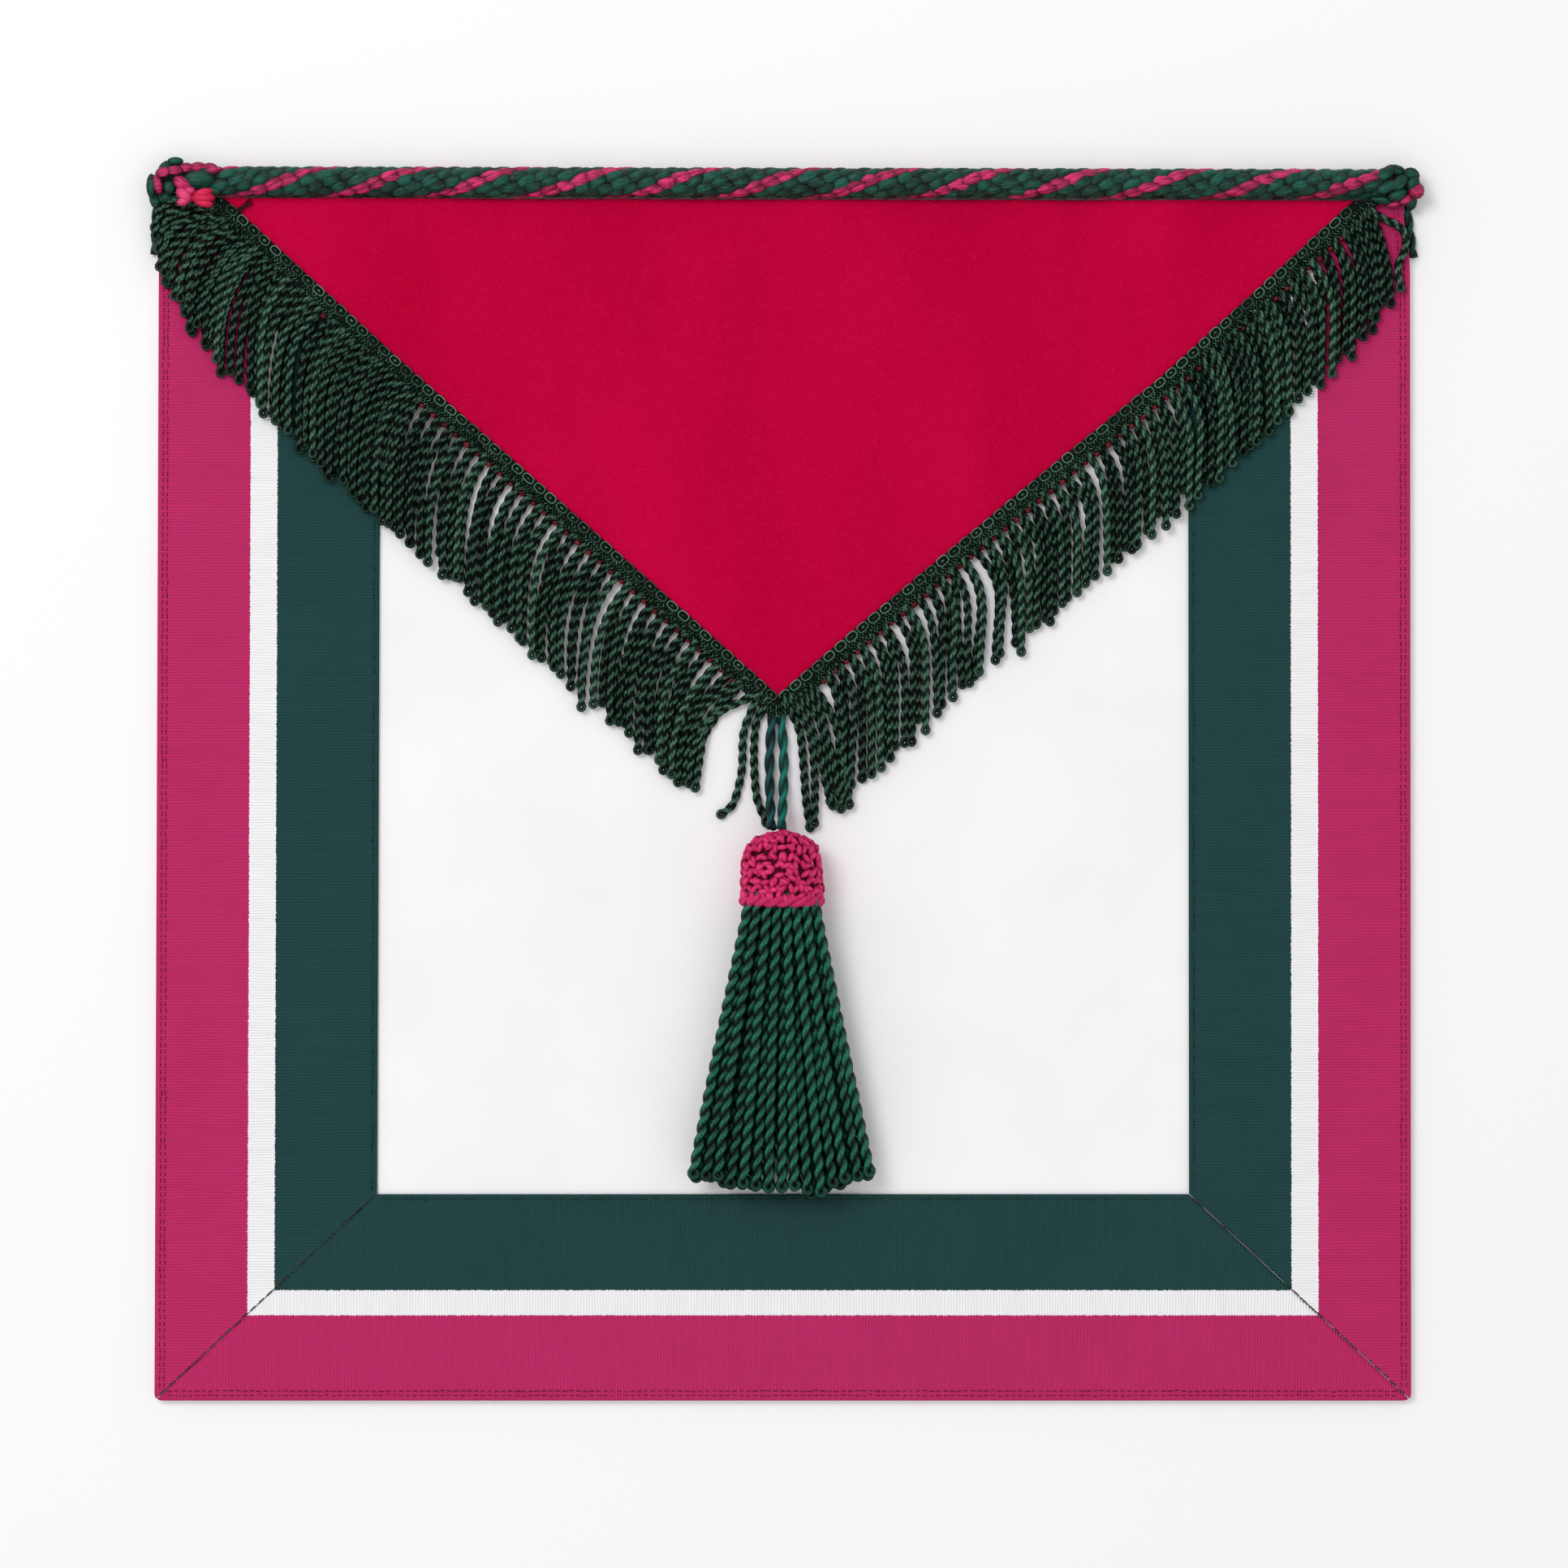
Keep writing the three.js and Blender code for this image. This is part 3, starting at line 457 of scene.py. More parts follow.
# A principled material and the few kinds of node that the looks are made from
class Look:
    def __init__(self, name, roughness, specular=0.1):
        self.material = bpy.data.materials.new(name)
        self.material.use_nodes = True
        self.tree = self.material.node_tree
        self.shader = self.tree.nodes["Principled BSDF"]
        self.shader.inputs["Roughness"].default_value = roughness
        self.shader.inputs["Specular IOR Level"].default_value = specular

    def put(self, socket, value):
        if isinstance(value, bpy.types.NodeSocket):
            self.tree.links.new(value, socket)
        else:
            socket.default_value = value

    def attribute(self, name, output="Vector"):
        node = self.tree.nodes.new("ShaderNodeAttribute")
        node.attribute_name = name
        return node.outputs[output]

    def parts(self, vector):
        node = self.tree.nodes.new("ShaderNodeSeparateXYZ")
        self.put(node.inputs[0], vector)
        return node.outputs

    def vector(self, x, y, z):
        node = self.tree.nodes.new("ShaderNodeCombineXYZ")
        for socket, value in zip(node.inputs, (x, y, z)):
            self.put(socket, value)
        return node.outputs[0]

    def scaled(self, vector, factors):
        node = self.tree.nodes.new("ShaderNodeVectorMath")
        node.operation = "MULTIPLY"
        self.put(node.inputs[0], vector)
        node.inputs[1].default_value = factors
        return node.outputs[0]

    def math(self, operation, a, b=0.0, c=0.0):
        node = self.tree.nodes.new("ShaderNodeMath")
        node.operation = operation
        for socket, value in zip(node.inputs, (a, b, c)):
            self.put(socket, value)
        return node.outputs[0]

    # A value minus a half, then scaled and added to another
    def centred(self, value, factor, other):
        return self.math("MULTIPLY_ADD", self.math("SUBTRACT", value, 0.5), factor, other)

    def noise(self, vector, scale, detail=2.0, distortion=0.0):
        node = self.tree.nodes.new("ShaderNodeTexNoise")
        self.put(node.inputs["Vector"], vector)
        node.inputs["Scale"].default_value = scale
        node.inputs["Detail"].default_value = detail
        node.inputs["Distortion"].default_value = distortion
        return node.outputs["Fac"]

    def ramp(self, value, stops, interpolation="LINEAR"):
        node = self.tree.nodes.new("ShaderNodeValToRGB")
        node.color_ramp.interpolation = interpolation
        elements = node.color_ramp.elements
        while len(elements) < len(stops):
            elements.new(0.5)
        for element, (position, colour) in zip(elements, stops):
            element.position = position
            element.color = colour
        self.put(node.inputs[0], value)
        return node.outputs["Color"]

    def blend(self, share, a, b):
        node = self.tree.nodes.new("ShaderNodeMix")
        node.data_type = "RGBA"
        node.blend_type = "MIX"
        for number, value in ((0, share), (6, a), (7, b)):
            self.put(node.inputs[number], value)
        return node.outputs[2]

    # The material in a colour, with bumps of a height in millimetres
    def finish(self, colour, height, distance):
        node = self.tree.nodes.new("ShaderNodeBump")
        node.inputs["Strength"].default_value = 1.0
        node.inputs["Distance"].default_value = distance * MM
        self.put(node.inputs["Height"], height)
        self.put(self.shader.inputs["Base Color"], colour)
        self.put(self.shader.inputs["Normal"], node.outputs[0])
        return self.material


FINE_STREAKS = 0.35
TONE_WEIGHT = 0.85
YARN_STOPS = (0.28, 0.6, 0.92)
YARN_MIDDLE = 0.3


# Twisted or braided thread: fine streaks along the filaments, with painted shade in the grooves and a
# painted highlight on the crests
def yarn_look(name, roughness=0.5, specular=0.15, streaks=3.2, depth=0.12, grain=1.0):
    look = Look(name, roughness, specular=specular)
    thread = look.attribute("thread")
    streak = look.noise(thread, streaks, 3.0)
    fine = look.noise(thread, streaks * 3, 2.0)
    coarse = look.math("MULTIPLY", streak, 1 - FINE_STREAKS)
    both = look.math("MULTIPLY_ADD", fine, FINE_STREAKS, coarse)
    both = look.centred(both, grain, 0.5)
    share = look.centred(look.attribute("tone", "Fac"), TONE_WEIGHT, both)
    dark, light = colour_pair(name)
    middle = tuple(mix(d, l, YARN_MIDDLE) for d, l in zip(dark, light))
    colour = look.ramp(share, list(zip(YARN_STOPS, (dark, middle, light))))
    return look.finish(colour, both, depth)


def shade_look(name):
    look = Look(name, 0.8)
    colour = linear(*SHADE_COLOURS[name])
    dark = tuple(0.7 * c for c in colour[:3]) + (1.0,)
    grain = look.noise(look.attribute("thread"), 2.0, 2.0)
    return look.finish(look.ramp(grain, [(0.3, dark), (0.7, colour)]), grain, 0.1)


PANEL_WEAVE_PITCH = 0.55


def panel_look():
    look = Look("white_cloth", 0.85, specular=0.05)
    cloth = look.attribute("thread")
    x, y, _ = look.parts(cloth)
    across = look.math("SINE", look.math("MULTIPLY", x, TURN / PANEL_WEAVE_PITCH))
    along = look.math("SINE", look.math("MULTIPLY", y, TURN / PANEL_WEAVE_PITCH))
    weave = look.math("MULTIPLY", across, along)
    slubs = look.noise(look.scaled(cloth, (1.0, 0.25, 1.0)), 1.2, 3.0)
    height = look.math("MULTIPLY_ADD", weave, 0.3, slubs)
    cloud = look.noise(cloth, 0.02, 2.0)
    return look.finish(look.ramp(cloud, list(zip((0.3, 0.7), colour_pair("panel")))), height, 0.05)


RIBBON_STRIPES = ("ribbon_magenta", "ribbon_white", "ribbon_green")
RIB_PITCH = 0.92
RIB_WANDER = 9.0
STRIPE_JITTER = 0.9
RIB_DEPTH = 0.22


# Grosgrain: ribs across the ribbon through three woven stripes, their tops painted lighter and troughs
# darker as painted light and shade; thread holds (across, along, seed)
def ribbon_look(name, width, magenta, white):
    look = Look(name, 0.62, specular=0.08)
    cloth = look.attribute("thread")
    x, y, seed = look.parts(cloth)
    wander = look.noise(look.scaled(cloth, (0.05, 0.12, 1.0)), 1.0, 2.0)
    turned = look.math("MULTIPLY_ADD", y, TURN / RIB_PITCH, look.math("MULTIPLY", wander, RIB_WANDER))
    lifted = look.math("MULTIPLY_ADD", look.math("SINE", turned), 0.5, 0.5)
    jitter = look.noise(look.vector(0.0, look.math("MULTIPLY", y, 2.4), seed), 1.0, 1.0)
    share = look.math("DIVIDE", look.centred(jitter, STRIPE_JITTER, x), width)
    stops = [0.0, magenta / width, (magenta + white) / width]
    pairs = [colour_pair(stripe) for stripe in RIBBON_STRIPES]
    dark = look.ramp(share, [(stop, pair[0]) for stop, pair in zip(stops, pairs)], "CONSTANT")
    light = look.ramp(share, [(stop, pair[1]) for stop, pair in zip(stops, pairs)], "CONSTANT")
    threads = look.noise(look.scaled(cloth, (0.5, 5.0, 1.0)), 1.0, 3.0)
    cloud = look.noise(look.scaled(cloth, (0.06, 0.03, 1.0)), 1.0, 2.0)
    tone = look.math("ADD", look.math("MULTIPLY", threads, 0.6), look.math("MULTIPLY", cloud, 0.4))
    # Painted light on the rib tops and painted shade in the troughs, mixed with the threads' and cloud's
    # own tone
    level = look.math("MULTIPLY_ADD", lifted, 0.45, look.math("MULTIPLY", tone, 0.65))
    height = look.math("MULTIPLY_ADD", threads, 0.25, lifted)
    return look.finish(look.blend(level, dark, light), height, RIB_DEPTH)


CREPE_WIDTH = 0.035


def flap_look():
    look = Look("red_cloth", 0.7, specular=0.0)
    cloth = look.attribute("thread")
    grain = look.noise(cloth, 0.9, 3.0, distortion=1.6)
    fine = look.noise(cloth, 3.0, 2.0)
    crepe = look.math("ABSOLUTE", look.math("SUBTRACT", grain, 0.5))
    cloud = look.noise(look.scaled(cloth, (1.0, 0.35, 1.0)), 0.02, 2.0)
    base = look.ramp(cloud, list(zip((0.35, 0.65), colour_pair("flap"))))
    pale = look.ramp(crepe, list(zip((0.0, CREPE_WIDTH), colour_pair("flap_crepe")[::-1])))
    colour = look.blend(look.math("MULTIPLY", fine, 0.8), base, pale)
    return look.finish(colour, look.math("MULTIPLY_ADD", fine, 0.3, grain), 0.08)


# Outline of the panel and the heights that things rest at
BOTTOM_Y = -PANEL_HEIGHT / 2
TOP_Y = PANEL_HEIGHT / 2
RIBBON_TOP_Z = PANEL_THICKNESS + GAP + RIBBON_THICKNESS


def edge_x(side, y):
    lean = LEAN[side] * ((y - BOTTOM_Y) / PANEL_HEIGHT)
    pull = PULL[side] * smooth((y - (TOP_Y - PULL_REACH)) / PULL_REACH)
    return SIDES[side] * (PANEL_WIDTH / 2 - lean - pull)


TOP_LEFT_X = edge_x("left", TOP_Y)
TOP_RIGHT_X = edge_x("right", TOP_Y)
INNER_BOTTOM_Y = BOTTOM_Y + BOTTOM_RIBBON_WIDTH
INNER_LEFT_X = edge_x("left", 0) + SIDE_RIBBON_WIDTH
INNER_RIGHT_X = edge_x("right", 0) - SIDE_RIBBON_WIDTH


def top_y(x):
    return TOP_Y - TOP_TILT * ((x - TOP_LEFT_X) / (TOP_RIGHT_X - TOP_LEFT_X))


def rest_z(x, y, margin=0.0):
    beyond = np.maximum(np.maximum(x - INNER_RIGHT_X, INNER_LEFT_X - x), INNER_BOTTOM_Y - y) + margin
    return mix(PANEL_THICKNESS, RIBBON_TOP_Z, smooth((beyond + SAG_REACH) / SAG_REACH))


# Stations across a width, close together near both edges
NEAR_EDGE = [0, 0.25, 0.6, 1.1, 1.5, 2.0, 2.5, 3.1, 4.5]
STATION_STEP = 3.5


def edge_stations(width):
    middle = np.linspace(NEAR_EDGE[-1], width - NEAR_EDGE[-1], max(3, int(width / STATION_STEP)))
    return np.concatenate([NEAR_EDGE[:-1], middle, width - np.array(NEAR_EDGE[-2::-1])])


# Panel: a soft padded cloth, seen between the ribbons
PANEL_GRID = 130
PANEL_CROWDING = 0.35
PANEL_SINK = 0.2
PANEL_WAVES = [(0.12, 60, 3), (0.05, 18, 4)]
PANEL_WAVES_START = 40


def make_panel():
    inset = RIBBON_PROUD
    u, v = np.meshgrid(np.linspace(0, 1, PANEL_GRID), np.linspace(0, 1, PANEL_GRID))
    u = 0.5 - 0.5 * np.cos(np.pi * u) * PANEL_CROWDING + (u - 0.5) * (1 - PANEL_CROWDING)
    u = (u - u.min()) / (u.max() - u.min())
    y = mix(BOTTOM_Y + inset, TOP_Y - inset, v)
    left, right = edge_x("left", y) + inset, edge_x("right", y) - inset
    x = mix(left, right, u)
    y = np.where(v == 1, top_y(x) - inset, y)
    rim = np.minimum(np.minimum(u, 1 - u), np.minimum(v, 1 - v)) * PANEL_HEIGHT
    top = PANEL_THICKNESS - PANEL_SINK + softness(x, y, PANEL_WAVES) * smooth(rim / PANEL_WAVES_START)
    form = Form()
    form.sheet(place(x, y, top), place(x, y, 0.0), place(x, y, 0.0))
    panel = made("panel_cloth", form, panel_look(), ["apron_body"])


# Ribbon
OUTER_STITCH = 2.5
INNER_STITCH = 1.6
MAGENTA_SIDE, WHITE_SIDE = 30.0, 8.7
MAGENTA_BOTTOM, WHITE_BOTTOM = 27.5, 8.0
SELVAGE_DEPTH, SELVAGE_REACH = 0.45, 0.7
DENT_REACH = 0.5
OUTER_DENT, INNER_DENT = 0.16, 0.2
MITRE_GAP = 0.7 * GAP
FOLD_HEIGHT, FOLD_REACH = 0.32, 1.3
SIDE_RIBBON_ROWS, BOTTOM_RIBBON_COLUMNS = 150, 170


# The rounding of the outer corner, as how far a line at a distance from the edge starts from the corner
def corner_start(distance):
    inside = np.clip(CORNER_RADIUS - distance, 0, CORNER_RADIUS)
    return np.where(distance < CORNER_RADIUS, CORNER_RADIUS - np.sqrt(CORNER_RADIUS**2 - inside**2), 0)


# Height over the ribbon's flat top: rounded selvages, stitch dents, soft waves
def ribbon_relief(across, width, x, y, seed):
    edge = np.minimum(across, width - across)
    rounded = -SELVAGE_DEPTH * (1 - smooth(edge / SELVAGE_REACH))
    outer = np.exp(-(((across - OUTER_STITCH) / DENT_REACH) ** 2))
    inner = np.exp(-(((width - across - INNER_STITCH) / DENT_REACH) ** 2))
    waves = softness(x, y, [(0.1, 25, seed), (0.06, 9, seed + 1)])
    return rounded - OUTER_DENT * outer - INNER_DENT * inner + waves * smooth(edge / 3)


# A ribbon from grids: places across and along it, x, y and the height that its corners add
def ribbon_sheet(side, grids, width, look, seed):
    across, along, x, y, extra = grids
    top = RIBBON_TOP_Z - 0.1 + (ribbon_relief(across, width, x, y, seed) + extra)
    low = PANEL_THICKNESS + GAP + 0.25 * (1 - smooth(np.minimum(across, width - across) / 0.6))
    cloth = place(across, along, seed * 7.3)
    form = Form()
    form.sheet(place(x, y, top), place(x, y, np.minimum(low, top - 0.15)), cloth)
    ribbon = made(f"ribbon_{side}_weave", form, look, [f"ribbon_{side}"])


def make_side_ribbon(side, look, seed):
    across = edge_stations(SIDE_RIBBON_WIDTH)
    start = np.maximum(across * BOTTOM_RIBBON_WIDTH / SIDE_RIBBON_WIDTH + MITRE_GAP, corner_start(across))
    near = np.array([0, 0.3, 0.8, 1.5, 2.4]) / PANEL_HEIGHT
    share = np.concatenate([near, np.linspace(0.012, 1, SIDE_RIBBON_ROWS)])
    a, v = np.meshgrid(across, share)
    begin = np.broadcast_to(BOTTOM_Y + start, a.shape)
    straight = mix(begin, TOP_Y, v)
    x = edge_x(side, straight) - SIDES[side] * a
    y = np.where(v == 1, top_y(x), straight)
    fold = FOLD_HEIGHT * np.exp(-(((y - begin) / FOLD_REACH) ** 2)) - 0.35 * (1 - smooth((y - begin) / 0.5))
    order = slice(None, None, -SIDES[side])
    grids = [grid[:, order] for grid in (a, y - BOTTOM_Y, x, y, fold)]
    ribbon_sheet(side, grids, SIDE_RIBBON_WIDTH, look, seed)


def make_bottom_ribbon(look, seed):
    across = edge_stations(BOTTOM_RIBBON_WIDTH)[::-1]
    slope = SIDE_RIBBON_WIDTH / BOTTOM_RIBBON_WIDTH
    start = np.maximum((across + MITRE_GAP) * slope, corner_start(across) + GAP)
    v, a = np.meshgrid(np.linspace(0, 1, BOTTOM_RIBBON_COLUMNS), across)
    begin = np.broadcast_to(start[:, None], a.shape)
    left, right = edge_x("left", BOTTOM_Y) + begin, edge_x("right", BOTTOM_Y) - begin
    x = mix(left, right, v)
    under = -0.2 * (1 - smooth((np.minimum(x - left, right - x)) / 2.0))
    grids = [grid[::-1] for grid in (a, x - TOP_LEFT_X, x, BOTTOM_Y + a, under)]
    ribbon_sheet("bottom", grids, BOTTOM_RIBBON_WIDTH, look, seed)


# Running stitches along the ribbon: length, pitch and radius, and how far they stray from their line
SEAM_STITCH = {"length": 1.7, "pitch": 2.2, "radius": 0.18, "wander": 0.08}
MITRE_STITCH = {"length": 3.2, "pitch": 3.6, "radius": 0.26, "wander": 0.12}
STITCH_SHARES = np.array([-1.0, -0.6, 0.0, 0.6, 1.0])
STITCH_SINK, STITCH_ARCH = 0.32, 0.24
OUTER_STITCH_ROWS = (1.7, 3.15)
SEAM_CORNER = 4
SEAM_HIDDEN = 40


def stitch_line(form, a, b, length, pitch, radius, wander):
    a, b = np.array(a, float), np.array(b, float)
    total = np.linalg.norm(b - a)
    along = (b - a) / total
    side = np.array([-along[1], along[0]])
    for k in range(int(total / pitch)):
        middle = a + along * ((k + 0.5) * pitch + chance.normal(0, 0.08)) + side * chance.normal(0, wander)
        reach = along * (length / 2 * chance.uniform(0.85, 1.1)) + side * chance.normal(0, 0.05)
        flat = middle + STITCH_SHARES[:, None] * reach
        z = RIBBON_TOP_Z - STITCH_SINK + STITCH_ARCH * (1 - STITCH_SHARES**4)
        form.tube(np.column_stack([flat, z]), radius, sides=5, tone=chance.uniform(0.2, 0.8))


def make_stitches():
    seams = {name: Form() for name in ("inner", "outer", "mitre")}

    def seam(name, a, b):
        shape = MITRE_STITCH if name == "mitre" else SEAM_STITCH
        stitch_line(seams[name], a, b, **shape)

    for side, towards in SIDES.items():
        inner = SIDE_RIBBON_WIDTH - INNER_STITCH
        low, high = INNER_BOTTOM_Y + 1, TOP_Y - SEAM_HIDDEN
        seam("inner", *((edge_x(side, y) - towards * inner, y) for y in (low, high)))
        stops = (BOTTOM_Y + SEAM_CORNER, TOP_Y - PULL_REACH, TOP_Y - 3)
        for inside in OUTER_STITCH_ROWS:
            points = [(edge_x(side, y) - towards * inside, y) for y in stops]
            seam("outer", points[0], points[1])
            seam("outer", points[1], points[2])
    y = INNER_BOTTOM_Y - INNER_STITCH
    seam("inner", (INNER_LEFT_X + 1, y), (INNER_RIGHT_X - 1, y))
    low_left, low_right = edge_x("left", BOTTOM_Y), edge_x("right", BOTTOM_Y)
    for inside in OUTER_STITCH_ROWS:
        y = BOTTOM_Y + inside
        seam("outer", (low_left + SEAM_CORNER, y), (low_right - SEAM_CORNER, y))
    for side, towards in SIDES.items():
        corner = edge_x(side, BOTTOM_Y)
        end = (corner - towards * SIDE_RIBBON_WIDTH, INNER_BOTTOM_Y + 0.4)
        seam("mitre", (corner - towards * 1.6, BOTTOM_Y + 1.9), end)
    looks = {"inner": "green", "outer": "magenta", "mitre": "dark"}
    for name, form in seams.items():
        made(f"seam_{name}", form, yarn_look(f"seam_thread_{looks[name]}"))


# Flap: its puckers below the cord as place across, half width, reach down and share of the full height
PUCKER_HEIGHT = 1.1
PUCKER_ROWS = [
    (0.21, 0.1, 0.3, 0.6),
    (0.36, 0.09, 0.55, 1),
    (0.53, 0.12, 0.6, 0.9),
    (0.68, 0.1, 0.45, 1),
    (0.82, 0.08, 0.3, 0.6),
]
PUCKER_EDGE_FADE = 0.125
FLAP_GRID = (150, 80)
FLAP_WAVES = [(0.1, 45, 21), (0.05, 16, 22)]


def flap_corner(side):
    x = edge_x(side, TOP_Y) - SIDES[side] * FLAP_INSET[side]
    return np.array([x, top_y(x)])


FLAP_TIP = np.array([FLAP_TIP_SHIFT, TOP_Y - FLAP_DEPTH])


def slant(side):
    top = flap_corner(side)
    tip = FLAP_TIP + np.array([SIDES[side] * FLAP_TIP_WIDTH / 2, 0])
    length = np.linalg.norm(tip - top)
    along = (tip - top) / length
    outward = SIDES[side] * np.array([-along[1], along[0]])
    return top, length, along, outward


# A point beside the slanting edge: share along it and distance inwards from it
def beside_edge(side, share, inwards=0.0):
    top, length, along, outward = slant(side)
    share = np.asarray(share, float)
    bow = FLAP_BOW[side] * np.interp(share, BOW_ALONG, BOW_OUT)
    return top + share[..., None] * length * along + (bow - inwards)[..., None] * outward


def pucker(across, down):
    total = 0
    for at, wide, reach, high in PUCKER_ROWS:
        near = 1 - smooth(np.abs(across - at) / wide)
        total = total + PUCKER_HEIGHT * high * near * (1 - smooth(down / reach))
    return total


def make_flap():
    u, v = np.meshgrid(*(np.linspace(0, 1, count) for count in FLAP_GRID))
    left, right = beside_edge("left", v), beside_edge("right", v)
    x = mix(left[..., 0], right[..., 0], u)
    y = mix(left[..., 1], right[..., 1], u)
    y = np.where(v == 0, top_y(x), y)
    fade = smooth(np.minimum(u, 1 - u) / PUCKER_EDGE_FADE)
    base = rest_z(x, y) + GAP + pucker(u, v) * fade
    top = base + FLAP_THICKNESS + softness(x, y, FLAP_WAVES) * fade - 0.1
    form = Form()
    form.sheet(*(place(x, y, z)[::-1] for z in (top, base, 0.0)))
    flap = made("flap_cloth", form, flap_look(), ["flap"])


# Heading of the fringe: a woven strip with a row of looped cords
GIMP_PITCH = 4.78
GIMP_LIFT = 0.55
# Near the flap's point the heading covers the flap's edge over this length
TIP_COVER = 26.0
BACKING_ACROSS = np.array([0.15, 2.6, 4.4, 6.6])
BACKING_ROWS = 160
BACKING_SINK, BACKING_THICKNESS = 0.1, 0.45
# Along the inner side runs a row of rings, each with a dot of thread in it: half sizes and thickness
RINGS = [(1.85, 1.25, 0.2), (0.3, 0.18, 0.14)]
RING_MIDDLE = 5.35
RING_TONES = (0.6, 1.05)
# Rows of small woven bits: distance inwards, and which way they lean
BIT_ROWS = [(0.6, 1), (1.35, -1), (2.1, 1), (2.85, -1), (3.6, 1)]
BITS_A_PITCH = 4
BIT_HALF = (0.78, 0.2, 0.26)
BIT_LEAN = 0.75
BIT_LIFT = 0.75
BIT_TONES = (-0.7, 1.0)
DOT_INWARDS = 0.3
DOT_HALF = (0.95, 0.75, 0.3)
DOT_LIFT = 0.35
STRAY_ENDS_PX = [[(293, 262), (302, 255), (311, 247)], [(296, 264), (305, 257), (313, 252)]]
STRAY_RADIUS, STRAY_LIFT = 0.34, 0.7


# Rounds off a circle's coordinate towards that of a square
def squared(value):
    return np.sign(value) * np.abs(value) ** 0.7


def heading_z(x, y):
    return rest_z(x, y) + 2 * GAP + FLAP_THICKNESS


# Points on the heading from places along the slanting edge in millimetres and distances inwards
def heading_route(side, along, inwards, lift):
    _, length, _, _ = slant(side)
    flat = beside_edge(side, along / length, inwards)
    x, y = flat[:, 0], flat[:, 1]
    return place(x, y, heading_z(x, y) + lift)


def on_heading(side, route):
    below_cord = np.all(route[:, 1] < top_y(route[:, 0]) - 0.2)
    own_side = np.all(SIDES[side] * (route[:, 0] - FLAP_TIP_SHIFT) > -1.6)
    return below_cord and own_side


def make_heading(side, look, backing_shade_look):
    _, length, _, _ = slant(side)
    a, s = np.meshgrid(BACKING_ACROSS, np.linspace(0, length, BACKING_ROWS))
    a = a - (a == BACKING_ACROSS[0]) * 0.4 * smooth((s - length + TIP_COVER) / TIP_COVER)
    flat = beside_edge(side, s / length, a)
    x, y = flat[..., 0], flat[..., 1]
    x = FLAP_TIP_SHIFT + SIDES[side] * np.maximum(0.05, SIDES[side] * (x - FLAP_TIP_SHIFT))
    y = np.minimum(y, top_y(x) - 0.1)
    low = heading_z(x, y) - BACKING_SINK
    grids = (place(x, y, low + BACKING_THICKNESS), place(x, y, low), place(a, s, 0.0))
    backing = Form()
    backing.sheet(*(grid[:, :: -SIDES[side]] for grid in grids))
    # The backing is coloured dark as painted shade between the rings and bits of the heading
    made(f"fringe_{side}_backing", backing, backing_shade_look)
    form = Form()
    add_rings(form, side, length)
    add_heading_bits(form, side, length)
    if side == "left":
        add_stray_ends(form)
    made(f"fringe_{side}_heading", form, look, [f"fringe_{side}"])
    add_edge_dots(side, length)


def add_rings(form, side, length):
    turn = np.linspace(0, TURN, 17)[:-1]
    for k in range(-2, int(length / GIMP_PITCH) + 2):
        middle = (k + 0.5) * GIMP_PITCH
        for half_along, half_across, radius in RINGS:
            wobble = chance.normal(0, 0.07, 3)
            s = middle + wobble[0] + (half_along + wobble[1]) * squared(np.cos(turn))
            d = RING_MIDDLE + (half_across + wobble[2]) * squared(np.sin(turn))
            route = heading_route(side, s, d, GIMP_LIFT + 0.1 * np.sin(turn))
            tone = chance.uniform(*RING_TONES)
            if on_heading(side, route):
                form.tube(route, radius, sides=5, tone=tone, closed=True)


# Two short stray ends of thread that stick out of the left heading over the flap
def add_stray_ends(form):
    for pixels in STRAY_ENDS_PX:
        points = np.array([from_photo(px, py) for px, py in pixels])
        x, y = points[:, 0], points[:, 1]
        form.tube(place(x, y, heading_z(x, y) + STRAY_LIFT), STRAY_RADIUS, sides=5, tone=0.25)


# Reddish dots where the flap's edge shows between the roots of the strands, darker and browner than the
# flap as painted shade
def add_edge_dots(side, length):
    s = (np.arange(1, int(length / GIMP_PITCH)) + 0.85) * GIMP_PITCH
    s = s[s < FRINGE_END[side] * length]
    _, _, edge_way, outward = slant(side)
    ways = [np.append(edge_way, 0), np.append(outward, 0), UP]
    ways = [np.broadcast_to(way, (len(s), 3)) for way in ways]
    sizes = np.clip(chance.normal(1, 0.15, len(s)), 0.6, 1.3)
    axes = half_axes(ways, DOT_HALF) * sizes[:, None, None]
    form = Form()
    centres = heading_route(side, s, DOT_INWARDS, DOT_LIFT)
    form.lumps(centres, axes, chance.uniform(0, 1, len(s)), around=8)
    # The dots' dark brownish red is painted shade on the flap's colour
    look = yarn_look(f"edge_dots_{side}", specular=0.02)
    made(f"fringe_{side}_dots", form, look)


# The woven middle of the heading: rows of short bits that lean one way and the other
def add_heading_bits(form, side, length):
    along = np.arange(0, length + 3, GIMP_PITCH / BITS_A_PITCH)
    _, _, edge_way, outward = slant(side)
    for inwards, towards in BIT_ROWS:
        s = along + towards * 0.15 + chance.normal(0, 0.06, len(along))
        centres = heading_route(side, s, inwards, BIT_LIFT)
        x, y = centres[:, 0], centres[:, 1]
        covers = (s > length - TIP_COVER) | (inwards > 1)
        kept = (y < top_y(x) - 0.4) & (SIDES[side] * (x - FLAP_TIP_SHIFT) > -0.5) & covers
        centres = centres[kept]
        count = len(centres)
        lean = towards * BIT_LEAN + chance.normal(0, 0.12, count)[:, None]
        flat_way = edge_way * np.cos(lean) + outward * np.sin(lean)
        long_way = np.column_stack([flat_way, np.zeros(count)])
        high_way = np.broadcast_to(UP, long_way.shape)
        wide_way = np.cross(high_way, long_way)
        axes = half_axes((long_way, wide_way, high_way), BIT_HALF)
        form.lumps(centres, axes, chance.uniform(*BIT_TONES, count), around=6)


